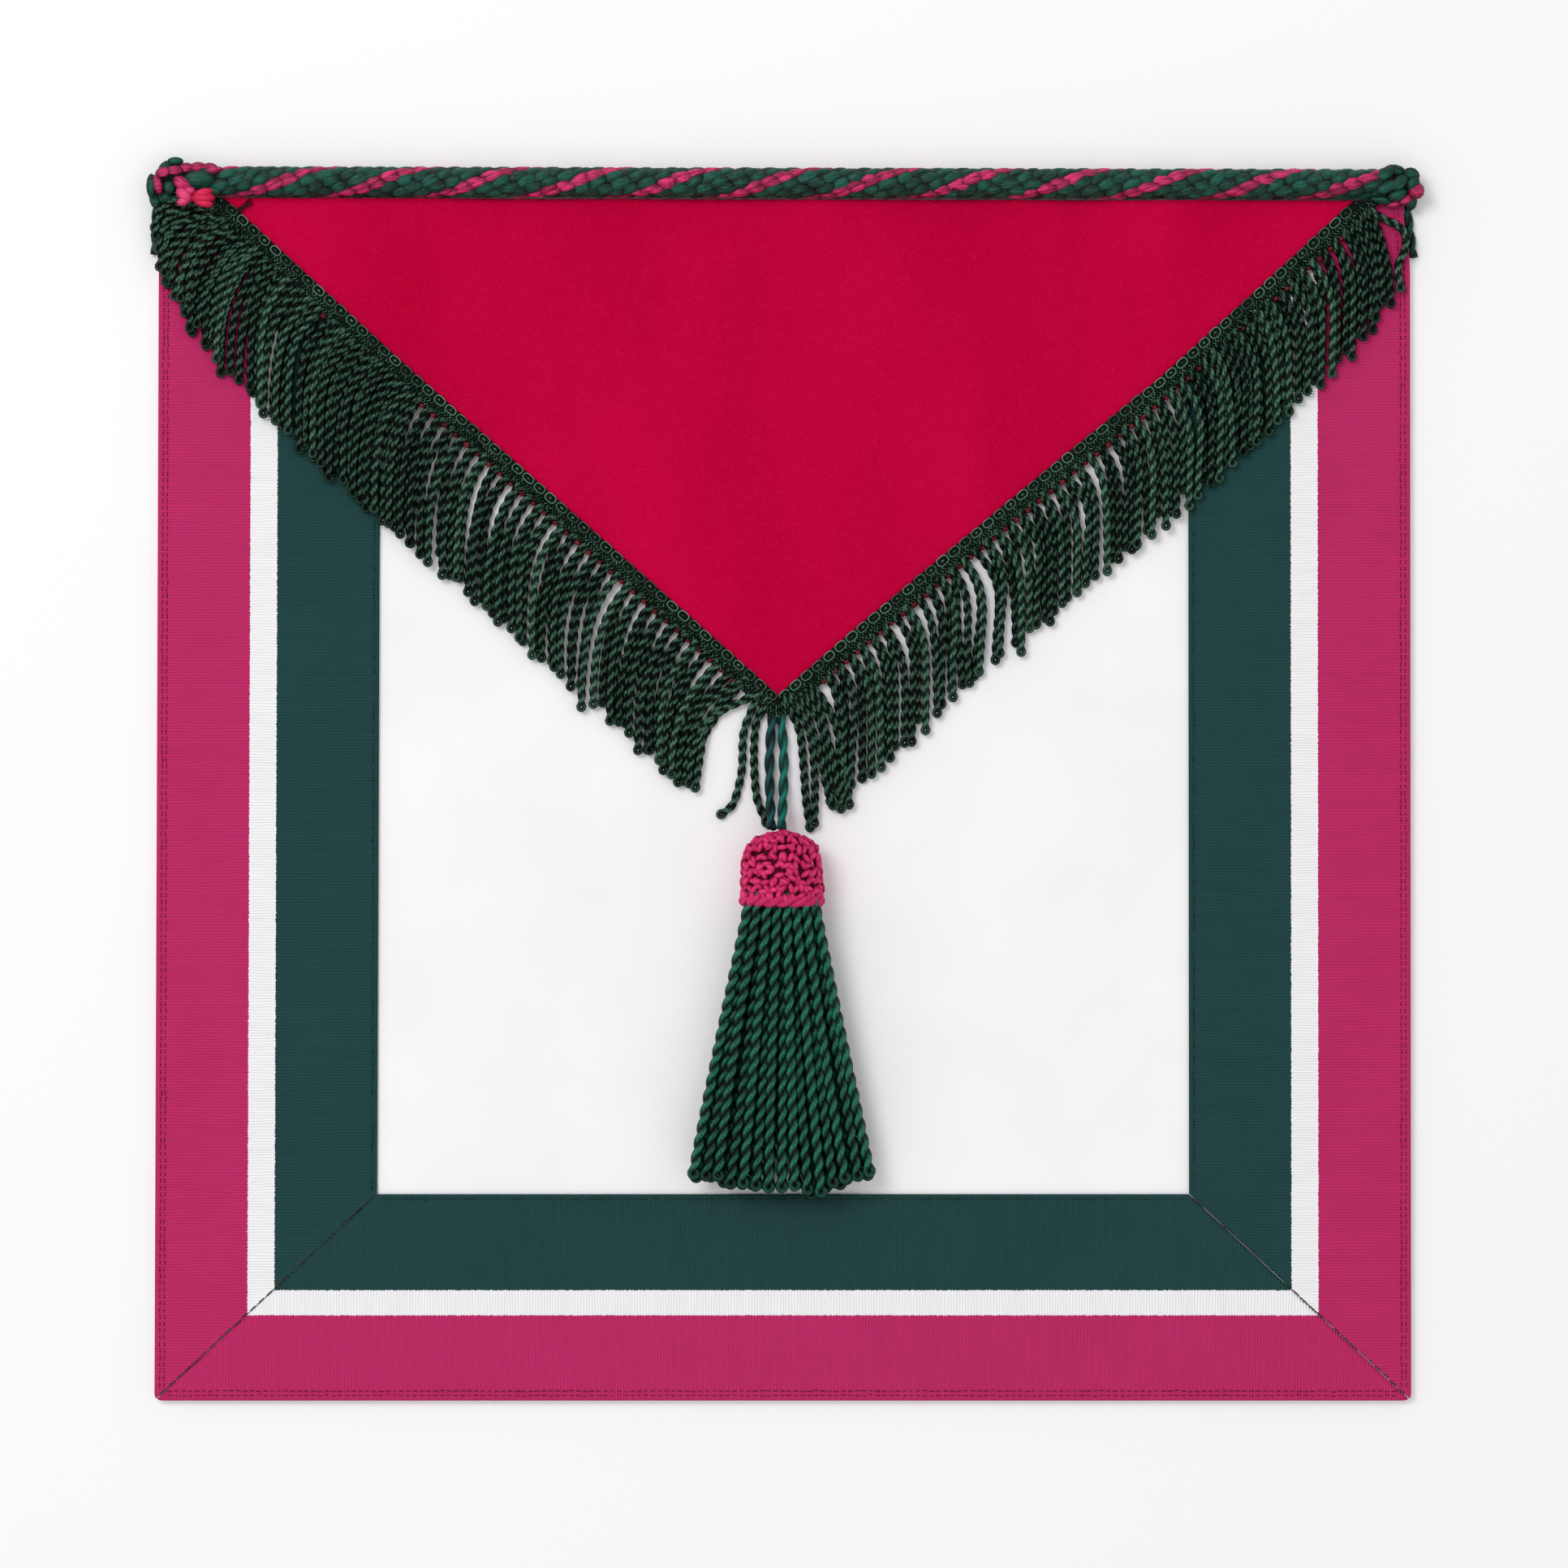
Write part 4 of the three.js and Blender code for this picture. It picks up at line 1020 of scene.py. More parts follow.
# Fringe strands: rows of share along the slanting edge, then how far out and down the strands end,
# as shares of the drop
FRINGE_ROWS = {
    "left": [
        (0, 0.26, 0.34),
        (0.02, 0.33, 0.47),
        (0.045, 0.33, 0.64),
        (0.085, 0.29, 0.76),
        (0.14, 0.21, 0.92),
        (0.64, 0.21, 0.91),
        (0.78, 0.23, 0.9),
        (0.86, 0.25, 0.88),
        (0.95, 0.37, 0.73),
    ],
    "right": [
        (0, 0.15, 0.68),
        (0.03, 0.15, 0.69),
        (0.07, 0.13, 0.8),
        (0.36, 0.12, 0.82),
        (0.69, 0.12, 0.82),
        (0.73, 0.09, 0.84),
        (0.84, 0.12, 0.9),
        (0.95, 0.07, 0.88),
    ],
}
# A gap where neighbouring strands bow apart: share along the edge, and how wide; over what stretch
FRINGE_PARTING = {"left": (0.695, 3.4), "right": (0.71, 4.2)}
PARTING_REACH = 0.05
# The first strand leaves this many pitches along the edge, and the last one at this share of it
FRINGE_START = {"left": 0.35, "right": 1.35}
FRINGE_END = {"left": 0.94, "right": 0.93}
# How many of the upper strands have one below them
LOWER_SHARE = 0.92
# Towards the top corners one more strand lies between most, up to this share along the edge
DENSE_UP_TO = {"left": 0.37, "right": 0.3}
DENSE_SHARE = {"left": 0.85, "right": 0.55}
# Where a strand turns from square to the edge, by layer, and where it hangs straight, in drops
LOCK_LEAVING = (0.15, 0.28)
LOCK_HANGING = 0.6
ROOT_INWARDS = 2.2
ROOT_LIFT = 0.6
PLY_RADIUS = 0.86
PLY_OFFSET = 0.56
STRAND_FLATNESS = 0.7
STRAND_POINTS = 30
STRAND_SWAY = 0.6
LONE_TONES = (0.3, 0.8)
# Shares of a strand's length that it stays at its root's height and then comes down over
ROOT_STAYS, ROOT_SETTLES = 0.04, 0.16
GROUND_MARGIN = 1.5
LOOP_RADIUS = 0.95
# The two plies open to the loop over this length, flatten by this much, and the loop is longer than round
LOOP_OPENS = 1.8
LOOP_FLATNESS = 0.25
LOOP_STRETCH = 1.1
LOOP_TURNS = [35, 65, 90, 115, 145]
LOOP_THINNESS, LOOP_REACH = 0.88, 5
FRINGE_TWIST = 8.0
UPPER_LIFT = 0.95
PLY_TURN = 0.9
# Kinds of strand: share of a pitch and of the edge that they leave further along, the layer that they lie
# in, then middle and scatter of how far out and down they end, and the range of their tone, darker in the
# lower layer as painted shade under the upper strands
STRANDS = {
    "between": (0.5, 0.0, 0, (0, 0.9), (-2.0, 1.2), (0.0, 0.5)),
    "lower": (0.0, 0.002, 0, (-1.8, 0.7), (-1.6, 1.2), (0.0, 0.6)),
    "upper": (0.0, 0.0, 1, (0, 0.9), (-0.4, 1.1), (0.1, 1.0)),
}


# Two plies of one yarn twisted round each other and turned back in a small loop at the tip
def bullion(form, centre, tone, twist=FRINGE_TWIST, size=1.0, steps=8, loop=LOOP_RADIUS, keen=11, flat=1.0):
    total = lengths_along(centre)[-1]
    count = max(int(round(total / twist * steps)) + 1, 8)
    centre = resampled(centre, count)
    tangent, side, above = directions(centre)
    left = np.linspace(total, 0, count)
    phase = TURN * left / twist
    opening = smooth(1 - left / LOOP_OPENS)
    offset = mix(PLY_OFFSET * size, loop, opening)[:, None]
    flatten = mix(1.0, LOOP_FLATNESS, opening)[:, None] * flat
    swing = offset * (np.cos(phase)[:, None] * side + flatten * np.sin(phase)[:, None] * above)
    turn = np.radians(LOOP_TURNS)[:, None]
    end = centre[-1] + loop * (np.cos(turn) * side[-1] + LOOP_STRETCH * np.sin(turn) * tangent[-1])
    route = np.vstack([centre + swing, end, (centre - swing)[::-1]])
    axis = np.vstack([centre, np.repeat(centre[-1:], len(end), axis=0), centre[::-1]])
    radius = np.full(len(route), PLY_RADIUS * size)
    near = np.abs(np.arange(len(route)) - (len(route) - 1) / 2) < LOOP_REACH
    radius[near] *= LOOP_THINNESS
    form.tube(route, radius, flat=flat, twist=PLY_TURN, tone=tone, axis=axis, keen=keen)


def parting(side, share):
    at, opening = FRINGE_PARTING[side]
    off = share - at
    return np.sign(off) * opening / 2 * max(0.0, 1 - abs(off) / PARTING_REACH)


# A strand leaves the heading square to it, then bends over to hang straight down
def fringe_strand(form, side, share, layer, out_by, drop_by, tone):
    at, outs, drops = np.array(FRINGE_ROWS[side]).T
    _, _, _, outward = slant(side)
    edge = beside_edge(side, np.array(share))
    out = np.interp(share, at, outs) * FRINGE_DROP + out_by
    drop = np.interp(share, at, drops) * FRINGE_DROP + drop_by
    root = edge - ROOT_INWARDS * outward
    leaving = edge + outward * LOCK_LEAVING[layer] * drop
    tip = edge + np.array([SIDES[side] * out, -drop])
    apart = parting(side, share) * -SIDES[side]
    hanging = tip + np.array([apart, LOCK_HANGING * drop])
    flat = bezier(root, leaving, hanging, tip, STRAND_POINTS)
    flat[:, 0] += chance.normal(0, STRAND_SWAY) * np.sin(np.linspace(0, np.pi, STRAND_POINTS)) ** 2
    lie_on_fringe_ground(form, flat, layer, tone)


def lie_on_fringe_ground(form, flat, layer, tone):
    share = np.linspace(0, 1, len(flat))
    x, y = flat[:, 0], flat[:, 1]
    root_z = heading_z(x[0], y[0]) + ROOT_LIFT
    half_height = (PLY_RADIUS + PLY_OFFSET) * STRAND_FLATNESS
    lying = rest_z(x, y, GROUND_MARGIN) + GAP + half_height + layer * UPPER_LIFT
    z = mix(root_z, lying, smooth((share - ROOT_STAYS) / ROOT_SETTLES))
    bullion(form, place(x, y, z), tone, flat=STRAND_FLATNESS)


def make_fringe(side, look):
    form = Form()
    _, length, _, _ = slant(side)
    first = FRINGE_START[side]
    count = int((FRINGE_END[side] * length) / GIMP_PITCH - first)
    for k in range(count + 1):
        share = (k + first) * GIMP_PITCH / length
        kinds = ["between"] if share < DENSE_UP_TO[side] and chance.random() < DENSE_SHARE[side] else []
        for kind in [*kinds, "lower", "upper"]:
            if kind == "lower" and chance.random() >= LOWER_SHARE:
                continue
            pitches, further, layer, out, drop, tones = STRANDS[kind]
            at = share + pitches * GIMP_PITCH / length + further
            out_by, drop_by = chance.normal(*out), chance.normal(*drop)
            fringe_strand(form, side, at, layer, out_by, drop_by, chance.uniform(*tones))
    for pixels, layer in LONE_STRANDS_PX[side]:
        points = np.array([from_photo(px, py) for px, py in pixels])
        flat = curve_through(points, STRAND_POINTS)
        lie_on_fringe_ground(form, flat, layer, chance.uniform(*LONE_TONES))
    made(f"fringe_{side}_strands", form, look, [f"fringe_{side}"])


# Strands that go their own way, as a few places in the photograph and the layer that they lie in
LONE_STRANDS_PX = {
    "left": [
        ([(932, 853), (917, 863), (898, 871), (880, 882), (869, 898), (862, 937), (857, 970)], 1),
        ([(938, 850), (926, 876), (916, 905), (914, 950), (905, 987), (896, 998), (889, 1003)], 0),
        ([(948, 858), (938, 878), (931, 895), (929, 935), (932, 980), (939, 1001), (944, 1013)], 0),
        ([(922, 836), (896, 849), (870, 869), (853, 904), (846, 940), (843, 962)], 0),
        ([(252, 250), (228, 246), (207, 251), (197, 264), (193, 282)], 1),
        ([(244, 251), (222, 253), (208, 264), (203, 284)], 0),
        ([(258, 254), (232, 248), (208, 254), (197, 272), (194, 292)], 1),
        ([(264, 260), (238, 258), (214, 266), (201, 286), (197, 308)], 0),
        ([(270, 268), (244, 270), (220, 282), (205, 304), (199, 330)], 1),
        ([(276, 276), (252, 282), (228, 298), (213, 322), (206, 348)], 0),
        ([(284, 284), (262, 293), (240, 312), (226, 338), (217, 366)], 1),
        ([(292, 292), (270, 304), (250, 328), (238, 356), (230, 386)], 0),
        ([(302, 300), (284, 314), (264, 342), (252, 372), (245, 400)], 1),
        ([(312, 310), (292, 328), (276, 356), (266, 390), (258, 418)], 0),
    ],
    "right": [
        ([(1684, 260), (1703, 272), (1720, 280), (1730, 293), (1728, 312), (1720, 331), (1723, 356)], 1),
        ([(963, 858), (977, 882), (986, 905), (990, 945), (993, 985), (998, 1019)], 0),
        ([(970, 854), (986, 878), (998, 905), (1003, 945), (1004, 985), (1003, 1014)], 1),
        ([(988, 853), (1001, 873), (1012, 895), (1019, 935), (1022, 965), (1023, 987)], 0),
        ([(1000, 843), (1016, 866), (1028, 890), (1038, 930), (1044, 965), (1046, 991)], 1),
        ([(994, 848), (1010, 872), (1018, 905), (1028, 945), (1034, 975), (1036, 996)], 1),
        ([(982, 858), (994, 880), (1004, 910), (1014, 945), (1018, 968), (1026, 992)], 1),
    ],
}

# Braided cord
CORD_RADIUS = CORD_DIAMETER / 2
CORD_LEFT_X = TOP_LEFT_X - CORD_OVERHANG["left"]
CORD_RIGHT_X = TOP_RIGHT_X + CORD_OVERHANG["right"]
BRAID_ROWS = 8
BRAID_LEFT_PX, BRAID_RIGHT_PX = 262, 1698
BRAID_LEAN = 26.3 - 11
# A magenta stripe is two rows that interlock, this share of a row's width to each side of its middle
MAGENTA_OFFSET = 0.24
MAGENTA_ROWS = np.array([-MAGENTA_OFFSET, MAGENTA_OFFSET])
# Step along the cord and half lengths of a lump, and its slot
GREEN_BRAID = (5.2, (4.3, 2.35, 2.0), "green_cord")
MAGENTA_BRAID = (4.7, (3.7, 1.55, 1.5), "pink_cord")
# The end lumps overlap their neighbours by being this much bigger than what shows of them
LUMP_OVERLAP = 1.28
# Lumps where the cord turns at its ends: middle, length and width in pixels, lean in degrees
GREEN_LUMPS_PX = [
    (246, 222, 34, 20, 0),
    (208.5, 231, 12, 14, 40),
    (204, 206, 16, 11, 40),
    (216, 199, 16, 9, 0),
    (186.5, 229, 10, 24, 0),
    (191, 246, 11, 20, 15),
    (262, 236, 20, 12, 10),
    (204, 242, 17, 13, 15),
    (217, 245, 17, 11, -10),
    (1704, 217, 26, 15, 30),
    (1719, 211, 22, 13, -10),
    (1708, 231, 24, 13, 25),
    (1724, 226, 22, 14, 35),
    (1722, 240, 22, 12, 20),
    (1739, 216, 17, 15, -30),
    (1741, 226, 15, 12, 50),
    (1703, 246, 26, 10, -10),
    (1738, 248, 13, 18, 0),
]
LEFT_MAGENTA_LUMPS_PX = [
    (201, 213, 16, 12, 20),
    (215, 211, 17, 12, 0),
    (229, 208, 17, 12, 5),
    (244, 207, 17, 12, 0),
    (258, 208, 17, 12, 0),
    (194, 227, 10, 20, 15),
    (225, 227, 22, 14, -35),
]
RIGHT_MAGENTA_LUMPS_PX = [
    (1745, 235, 16, 17, 0),
    (1731, 245, 16, 13, 20),
    (1717, 251, 15, 9, 10),
]
# Parts of the braid: name, the node it replaces, its rows round the cord, its braid and its end lumps
BRAID_PARTS = [
    ("green", "waist_cord", [1, 2, 3, 5, 6, 7], GREEN_BRAID, GREEN_LUMPS_PX),
    ("magenta_a", "waist_cord_stripe_a", MAGENTA_ROWS, MAGENTA_BRAID, LEFT_MAGENTA_LUMPS_PX),
    (
        "magenta_b",
        "waist_cord_stripe_b",
        BRAID_ROWS / 2 + MAGENTA_ROWS,
        MAGENTA_BRAID,
        RIGHT_MAGENTA_LUMPS_PX,
    ),
]


def cord_y(x):
    return top_y(x) + GAP + CORD_RADIUS


def stripe_angle(x):
    return TURN * (0.25 + STRIPE_PHASE - (x - CORD_LEFT_X) / CORD_PITCH)


# Lumps of one row of the braid: centres, axes and tones
def braid_row(row, left, right, spacing, halves):
    shift = (row * 0.5 % 1) * spacing
    first = np.ceil((left - shift) / spacing)
    x = np.arange(first, (right - shift) / spacing) * spacing + shift
    x = x + chance.normal(0, 0.3, len(x))
    angle = stripe_angle(x) + (row + chance.normal(0, 0.06, len(x))) * TURN / BRAID_ROWS
    radial = place(0.0, np.cos(angle), np.sin(angle))
    around = place(0.0, -np.sin(angle), np.cos(angle))
    lean = np.radians(BRAID_LEAN) + chance.normal(0, 0.12, len(x))
    long_way = place(1.0, 0, 0) * np.cos(lean)[:, None] - around * np.sin(lean)[:, None]
    long_way = unit(long_way + 0.1 * radial)
    wide_way = unit(np.cross(radial, long_way))
    high_way = np.cross(long_way, wide_way)
    inner = CORD_RADIUS - halves[2] * 0.95
    centres = place(x, cord_y(x), CORD_RADIUS) + inner * radial
    axes = half_axes((long_way, wide_way, high_way), halves)
    axes[:, 0] *= np.clip(chance.normal(1, 0.09, len(x)), 0.8, 1.15)[:, None]
    return centres, axes, chance.uniform(0.0, 1.0, len(x))


# Lumps at the cord's ends, which lie on its round top
def end_lumps(rows, middle_z=None):
    px, py, long_px, wide_px, degrees = np.array(rows, float).T
    x, y = from_photo(px, py)
    lean = np.radians(degrees)
    half_long, half_wide = long_px * MM_A_PX / 2, wide_px * MM_A_PX / 2
    half_high = np.minimum(half_long, half_wide)
    if middle_z is None:
        half_long, half_wide = half_long * LUMP_OVERLAP, half_wide * LUMP_OVERLAP
    across = np.clip(np.abs(y - cord_y(x)) / CORD_RADIUS, 0, 0.95)
    z = CORD_RADIUS * (1 + np.sqrt(1 - across**2)) - half_high if middle_z is None else middle_z
    x, y = straight_below(x, y, z)
    long_way = place(np.cos(lean), np.sin(lean), 0.0)
    wide_way = place(-np.sin(lean), np.cos(lean), 0.0)
    high_way = place(0.0 * lean, 0.0, 1.0)
    halves = [half[:, None] for half in (half_long, half_wide, half_high)]
    axes = half_axes((long_way, wide_way, high_way), halves)
    return place(x, y, z), axes, chance.uniform(0.3, 0.8, len(rows))


def make_waist_cord(looks, core_shade_look):
    # The core shows between the lumps in a dark colour, painted shade in the braid's grooves
    core = Form()
    x = np.linspace(CORD_LEFT_X + 2, CORD_RIGHT_X - 2, 60)
    core.tube(place(x, cord_y(x), CORD_RADIUS), CORD_RADIUS - 1.5, sides=12)
    made("waist_cord_core", core, core_shade_look)
    left, _ = from_photo(BRAID_LEFT_PX, 0)
    right, _ = from_photo(BRAID_RIGHT_PX, 0)
    for name, node, rows, (spacing, halves, slot), ends in BRAID_PARTS:
        form = Form()
        for number, row in enumerate(rows):
            start = left + number % 2 * spacing / 2
            form.lumps(*braid_row(row, start, right, spacing, halves), around=12)
        form.lumps(*end_lumps(ends), around=12)
        if name == "green":
            add_cord_tails(form)
        made(f"waist_cord_{name}", form, looks[slot], [node])


TAIL_LENGTH = 18.0
TAIL_RADIUS = 1.25
TAIL_DOWN = np.array([-0.07, 0.25, 0.6, 1])
TAIL_RISE = np.array([0.26, 0.02, 0.02, 0.02])


def add_cord_tails(form):
    for side, towards in SIDES.items():
        corner = edge_x(side, TOP_Y)
        y = top_y(corner) - TAIL_DOWN * TAIL_LENGTH
        x = edge_x(side, y) + towards * (TAIL_RADIUS + GAP)
        z = TAIL_RADIUS + TAIL_RISE * CORD_RADIUS
        points = np.vstack([[corner, cord_y(corner), CORD_RADIUS], place(x, y, z)])
        twisted(form, curve_through(points, 40), ply=0.9, offset=0.6, twist=12, tone=0.6)


# Two plies twisted together without a loop
def twisted(form, centre, ply, offset, twist, tone, steps=8, sides=6):
    total = lengths_along(centre)[-1]
    count = max(int(round(total / twist * steps)) + 1, 6)
    centre = resampled(centre, count)
    _, side, above = directions(centre)
    phase = TURN * np.linspace(total, 0, count) / twist
    for half in (0, np.pi):
        turned = (phase + half)[:, None]
        route = centre + offset * (np.cos(turned) * side + np.sin(turned) * above)
        form.tube(route, ply, sides=sides, twist=PLY_TURN, tone=tone, axis=centre)


# Knot below the cord's left end, as lumps like the cord's ends, the left ones pinker than the right
KNOT_Z = 11.0
KNOT_LUMPS_PX = {
    "left": ("knot_pink", [(227, 240, 24, 15, -38), (226, 248, 17, 12, 20), (234, 235, 14, 10, 0)]),
    "right": ("knot_red", [(250, 238, 26, 12, 14), (250, 244, 31, 14, 0), (251, 250, 25, 11, -12)]),
}


def make_knot():
    for side, (look, rows) in KNOT_LUMPS_PX.items():
        form = Form()
        form.lumps(*end_lumps(rows, KNOT_Z), around=14)
        made(f"corner_knot_{side}", form, yarn_look(look), ["corner_knot"])


# Tassel
TASSEL_X = FLAP_TIP_SHIFT + TASSEL_SHIFT
CAP_TOP_Y = FLAP_TIP[1] - TASSEL_HANG
CAP_BOTTOM_Y = CAP_TOP_Y - CAP_LENGTH
CAP_HALF_HEIGHT = CAP_WIDTH / 2 * CAP_FLATNESS
TASSEL_Z = float(rest_z(TASSEL_X, CAP_BOTTOM_Y, CAP_WIDTH / 2)) + GAP + CAP_HALF_HEIGHT
CAP_MIDDLE = np.array([TASSEL_X, CAP_BOTTOM_Y + CAP_LENGTH * 0.4, TASSEL_Z])
CAP_DOWN = [0, 0.05, 0.13, 0.25, 0.42, 0.74, 0.86, 0.96, 1]
CAP_RADIUS = [0, 0.44, 0.69, 0.87, 0.96, 0.97, 1, 0.98, 0.93]
HANGER_SPREAD = 4.6
HANGER_DOWN = np.array([0, 0.3, 0.62, 0.86, 1])
HANGER_OUT = np.array([0.8, 1, 0.95, 0.8, 0.7])
HANGER_RISE = np.array([0, 0, 0.15, 0.65, 1])
HANGER_RADIUS = 1.35
HANGER_SHIFT = 0.6
HANGER_YARN = {"ply": 1.05, "offset": 0.62, "twist": 15.5, "tone": 0.5, "steps": 14, "sides": 8}
TASSEL_ROUGHNESS = 0.45


def make_hanger():
    half = HANGER_SPREAD / 2
    middle = TASSEL_X - half + HANGER_SHIFT
    lying = float(rest_z(middle, CAP_TOP_Y + TASSEL_HANG / 2)) + GAP + HANGER_RADIUS
    turn_y = FLAP_TIP[1] - GAP - HANGER_RADIUS - half
    looks = {side: yarn_look(f"hanger_{side}", roughness=TASSEL_ROUGHNESS) for side in SIDES}
    for side in ("right", "left"):
        across = SIDES[side] * half
        x = middle + across * HANGER_OUT
        y = mix(turn_y, CAP_TOP_Y + GAP, HANGER_DOWN)
        z = mix(lying, TASSEL_Z, HANGER_RISE)
        start = [[middle + across * 0.6, turn_y + half + 3, lying]]
        form = Form()
        twisted(form, curve_through(np.vstack([start, place(x, y, z)]), 60), **HANGER_YARN)
        made(f"tassel_hanger_{side}", form, looks[side], ["tassel_hanger"])


# A place on the cap: share down from the crown and angle round it, and how far proud of its surface
def on_cap(down, angle, proud):
    radius = np.interp(down, CAP_DOWN, CAP_RADIUS) * CAP_WIDTH / 2 + proud
    y = CAP_TOP_Y - down * CAP_LENGTH + np.where(down < 0.1, proud, 0)
    x = TASSEL_X + radius * np.cos(angle)
    z = TASSEL_Z + radius * CAP_FLATNESS * np.sin(angle)
    return place(x, y, z)


# Crochet stitches: two short bits of yarn in a V, in rows round the cap, over a lining coloured dark as
# painted shade between the stitches
CAP_COURSES = [0.02, 0.07, 0.15, 0.25, 0.36, 0.47, 0.58, 0.69, 0.79, 0.88]
CAP_STITCHES = 22
CAP_BIT_HALF = (1.9, 1.0, 0.9)
CAP_BIT_LEAN = 0.75
LINING_DOWN = np.array([0.0, 0.02, 0.09, 0.22, 0.45, 0.74, 0.9])
LINING_AROUND = 28
LINING_SINK = 1.5
# The two bits of a stitch start this share of a stitch to each side, and are scattered in angle,
# down the cap, outwards and in lean
CAP_BIT_SHIFT = 0.24
CAP_ANGLE_SCATTER, CAP_DOWN_SCATTER, CAP_LEAN_SCATTER = 0.05, 0.022, 0.5
CAP_PROUD, CAP_PROUD_SCATTER = -0.75, 0.22
# The rim is two yarns twisted round each other: how far down, how wide they swing and how deep they lie
RIM_TURNS = 9
RIM_RADIUS = 1.2
RIM_DOWN, RIM_SWING = 0.95, (0.034, 0.7)
RIM_SINK = 1.2
RIM_POINTS = 180


def make_cap(look, dark):
    lining = Form()
    angle = np.linspace(0, TURN, LINING_AROUND + 1)[:-1]
    d, a = np.meshgrid(LINING_DOWN, angle, indexing="ij")
    shell = on_cap(d, a, -LINING_SINK)
    near = np.arange(d.size).reshape(d.shape)
    beside = np.roll(near, -1, axis=1)
    quads = np.stack([near[:-1], near[1:], beside[1:], beside[:-1]], axis=-1).reshape(-1, 4)
    lining.add(shell.reshape(-1, 3), quads, [], shell.reshape(-1, 3), 0.2)
    # The lining's dark colour is painted shade between the stitches
    made("tassel_cap_lining", lining, dark)
    form = Form()
    for number, course in enumerate(CAP_COURSES):
        girth = np.interp(course, CAP_DOWN, CAP_RADIUS)
        stitches = max(6, int(round(CAP_STITCHES * girth)))
        for towards in (-1, 1):
            add_cap_bits(form, course, stitches, number * 0.5, towards)
    t = np.linspace(0, TURN, RIM_POINTS + 1)[:-1]
    for half in (0, np.pi):
        turned = RIM_TURNS * t + half
        down = RIM_DOWN + RIM_SWING[0] * np.sin(turned)
        route = on_cap(down, t, RIM_SWING[1] * np.cos(turned) - RIM_SINK)
        outward = unit(route - np.array([TASSEL_X, CAP_BOTTOM_Y, TASSEL_Z]))
        form.tube(route, RIM_RADIUS, sides=7, up=outward, tone=0.66, closed=True)
    made("tassel_cap_crochet", form, look, ["tassel_cap"])


def add_cap_bits(form, course, stitches, shift, towards):
    k = np.arange(stitches) + shift + towards * CAP_BIT_SHIFT
    angle = k / stitches * TURN + chance.normal(0, CAP_ANGLE_SCATTER, stitches)
    down = np.clip(course + chance.normal(0, CAP_DOWN_SCATTER, stitches), 0.01, 1)
    proud = chance.normal(CAP_PROUD, CAP_PROUD_SCATTER, stitches)
    middle = on_cap(down, angle, proud)
    round_way = unit(on_cap(down, angle + 0.02, proud) - middle)
    down_way = unit(on_cap(np.minimum(down + 0.03, 1), angle, proud) - middle)
    lean = towards * CAP_BIT_LEAN + chance.normal(0, CAP_LEAN_SCATTER, stitches)[:, None]
    long_way = unit(down_way * np.cos(lean) + round_way * np.sin(lean))
    high_way = unit(np.cross(round_way, down_way))
    high_way = high_way * np.sign(np.sum(high_way * (middle - CAP_MIDDLE), axis=1))[:, None]
    wide_way = unit(np.cross(high_way, long_way))
    axes = half_axes((long_way, wide_way, high_way), CAP_BIT_HALF)
    form.lumps(middle, axes, chance.uniform(0.1, 0.9, stitches))


SKIRT_TOP_Y = CAP_BOTTOM_Y - GAP
SKIRT_SETTLES = 0.4
TIP_ACROSS = [-1, -0.5, 0, 0.15, 0.35, 0.7, 1]
TIP_REACH = [0.93, 0.963, 0.985, 0.963, 1, 0.95, 0.932]
SKIRT_STRAND = 1.36
SKIRT_INSET = PLY_RADIUS * SKIRT_STRAND * 2 * 0.8
SKIRT_TUCK = 0.05
SKIRT_POINTS = 40
SKIRT_SPREADING = 1.1
SKIRT_ROUNDNESS = 0.8
SKIRT_SWAY, SKIRT_TIP_SCATTER = 0.5, 0.006
SKIRT_YARN = {"twist": 10.0, "size": SKIRT_STRAND, "steps": 10, "loop": 1.2, "keen": 5}
# Layers of the skirt: strands, the first one's place and the steps across, shares of the width at the top
# and bottom, heights there and the range of tone, darker for the lower layers as painted shade under the
# upper strands
SKIRT_LAYERS = [
    (8, 0.0, 7, (0.96, 1.0), (1.0, 1.0), (0.45, 0.9)),
    (7, 0.5, 7, (0.96, 1.0), (0.35, 0.92), (0.3, 0.8)),
    (13, 0.0, 12, (0.9, 0.97), (-0.25, 0.1), (0.1, 0.5)),
    (13, 0.5, 13, (0.85, 0.95), (-0.95, -0.95), (0.1, 0.5)),
]


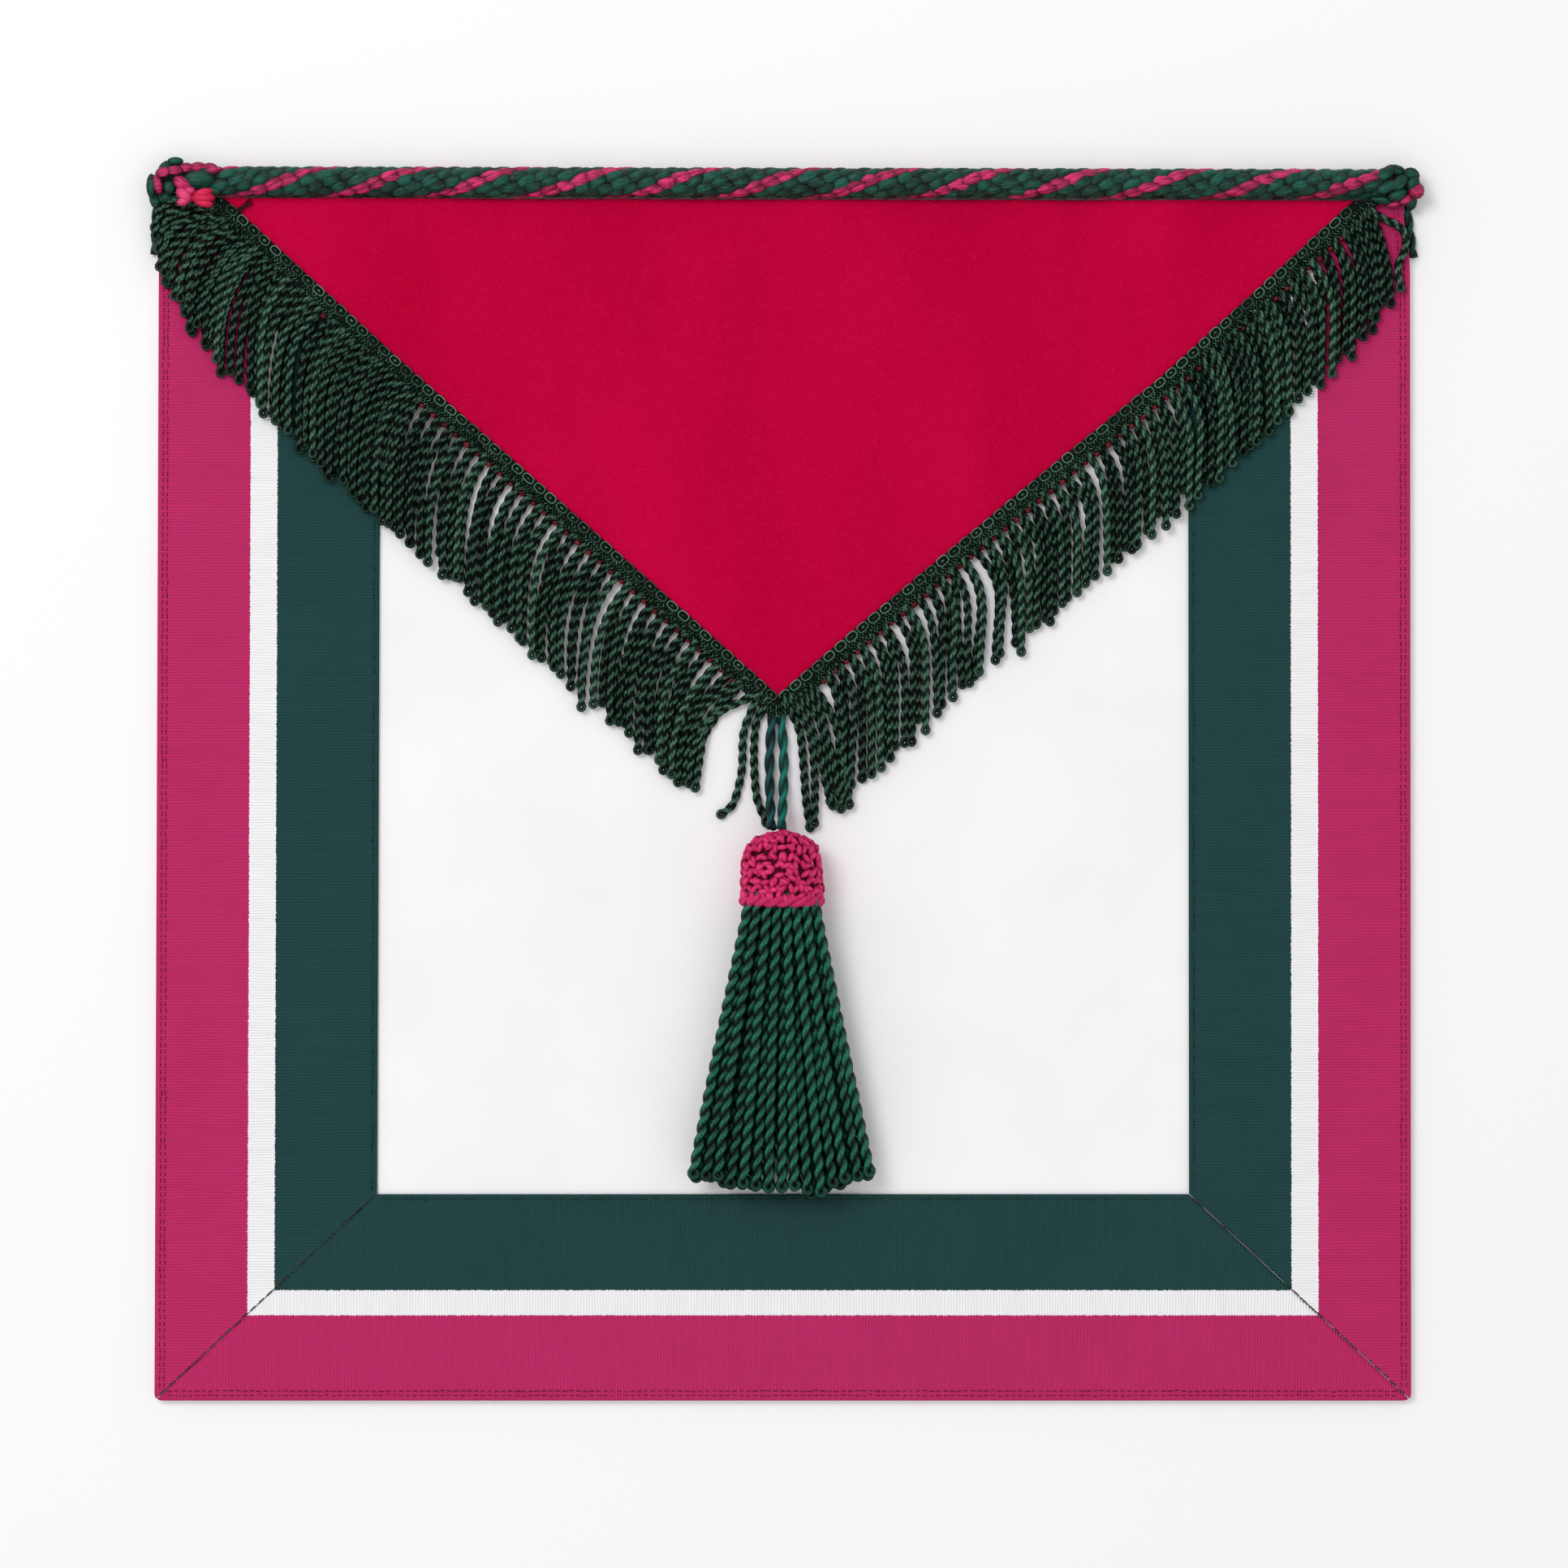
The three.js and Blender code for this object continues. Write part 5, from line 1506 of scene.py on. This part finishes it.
# A strand of the skirt: its place across at the top and bottom from -1 to 1, and its height at both
def skirt_strand(form, top_across, low_across, top_rise, low_rise, tone):
    reach = np.interp(low_across, TIP_ACROSS, TIP_REACH)
    share = np.linspace(-SKIRT_TUCK, reach + chance.normal(0, SKIRT_TIP_SCATTER), SKIRT_POINTS)
    half_width = mix(SKIRT_TOP_WIDTH, SKIRT_BOTTOM_WIDTH, share) / 2 - SKIRT_INSET
    half_thick = mix(SKIRT_TOP_THICKNESS, SKIRT_BOTTOM_THICKNESS, share) / 2 - SKIRT_INSET
    spread = smooth(share * SKIRT_SPREADING)
    across = mix(top_across, low_across, spread)
    rise = mix(top_rise, low_rise, spread)
    y = SKIRT_TOP_Y - share * SKIRT_LENGTH
    sway = chance.normal(0, SKIRT_SWAY) * np.sin(np.pi * np.clip(share, 0, 1))
    x = TASSEL_X + across * half_width + sway
    lying = rest_z(x, y) + GAP + half_thick + SKIRT_INSET
    centre_z = mix(TASSEL_Z, lying, smooth(share / SKIRT_SETTLES))
    z = centre_z + rise * half_thick * np.sqrt(np.clip(1 - SKIRT_ROUNDNESS * across**2, 0, 1))
    bullion(form, place(x, y, z), tone, **SKIRT_YARN)


def make_skirt(look):
    form = Form()
    for count, first, steps, (top, low), rises, tones in SKIRT_LAYERS:
        for k in range(count):
            across = mix(-1, 1, (k + first) / steps)
            skirt_strand(form, across * top, across * low, *rises, chance.uniform(*tones))
    made("tassel_skirt_strands", form, look, ["tassel_skirt"])


make_camera()
make_stage()
make_light()
make_panel()
side_look = ribbon_look("ribbon_side", SIDE_RIBBON_WIDTH, MAGENTA_SIDE, WHITE_SIDE)
bottom_look = ribbon_look("ribbon_bottom", BOTTOM_RIBBON_WIDTH, MAGENTA_BOTTOM, WHITE_BOTTOM)
make_side_ribbon("left", side_look, 31)
make_side_ribbon("right", side_look, 41)
make_bottom_ribbon(bottom_look, 51)
make_stitches()
make_flap()
fringe_look = yarn_look("fringe_thread", specular=0.06)
backing_shade_look = shade_look("fringe_backing_shade")
for side in SIDES:
    make_heading(side, fringe_look, backing_shade_look)
    make_fringe(side, fringe_look)
cord_shape = {"roughness": 0.38, "specular": 0.22, "streaks": 1.7, "depth": 0.3, "grain": 1.7}
cord_looks = {name: yarn_look(name, **cord_shape) for name in ("green_cord", "pink_cord")}
make_waist_cord(cord_looks, shade_look("cord_core_shade"))
make_knot()
make_hanger()
make_cap(yarn_look("cap_crochet", roughness=0.55), shade_look("cap_shade"))
make_skirt(yarn_look("tassel_thread", roughness=TASSEL_ROUGHNESS))
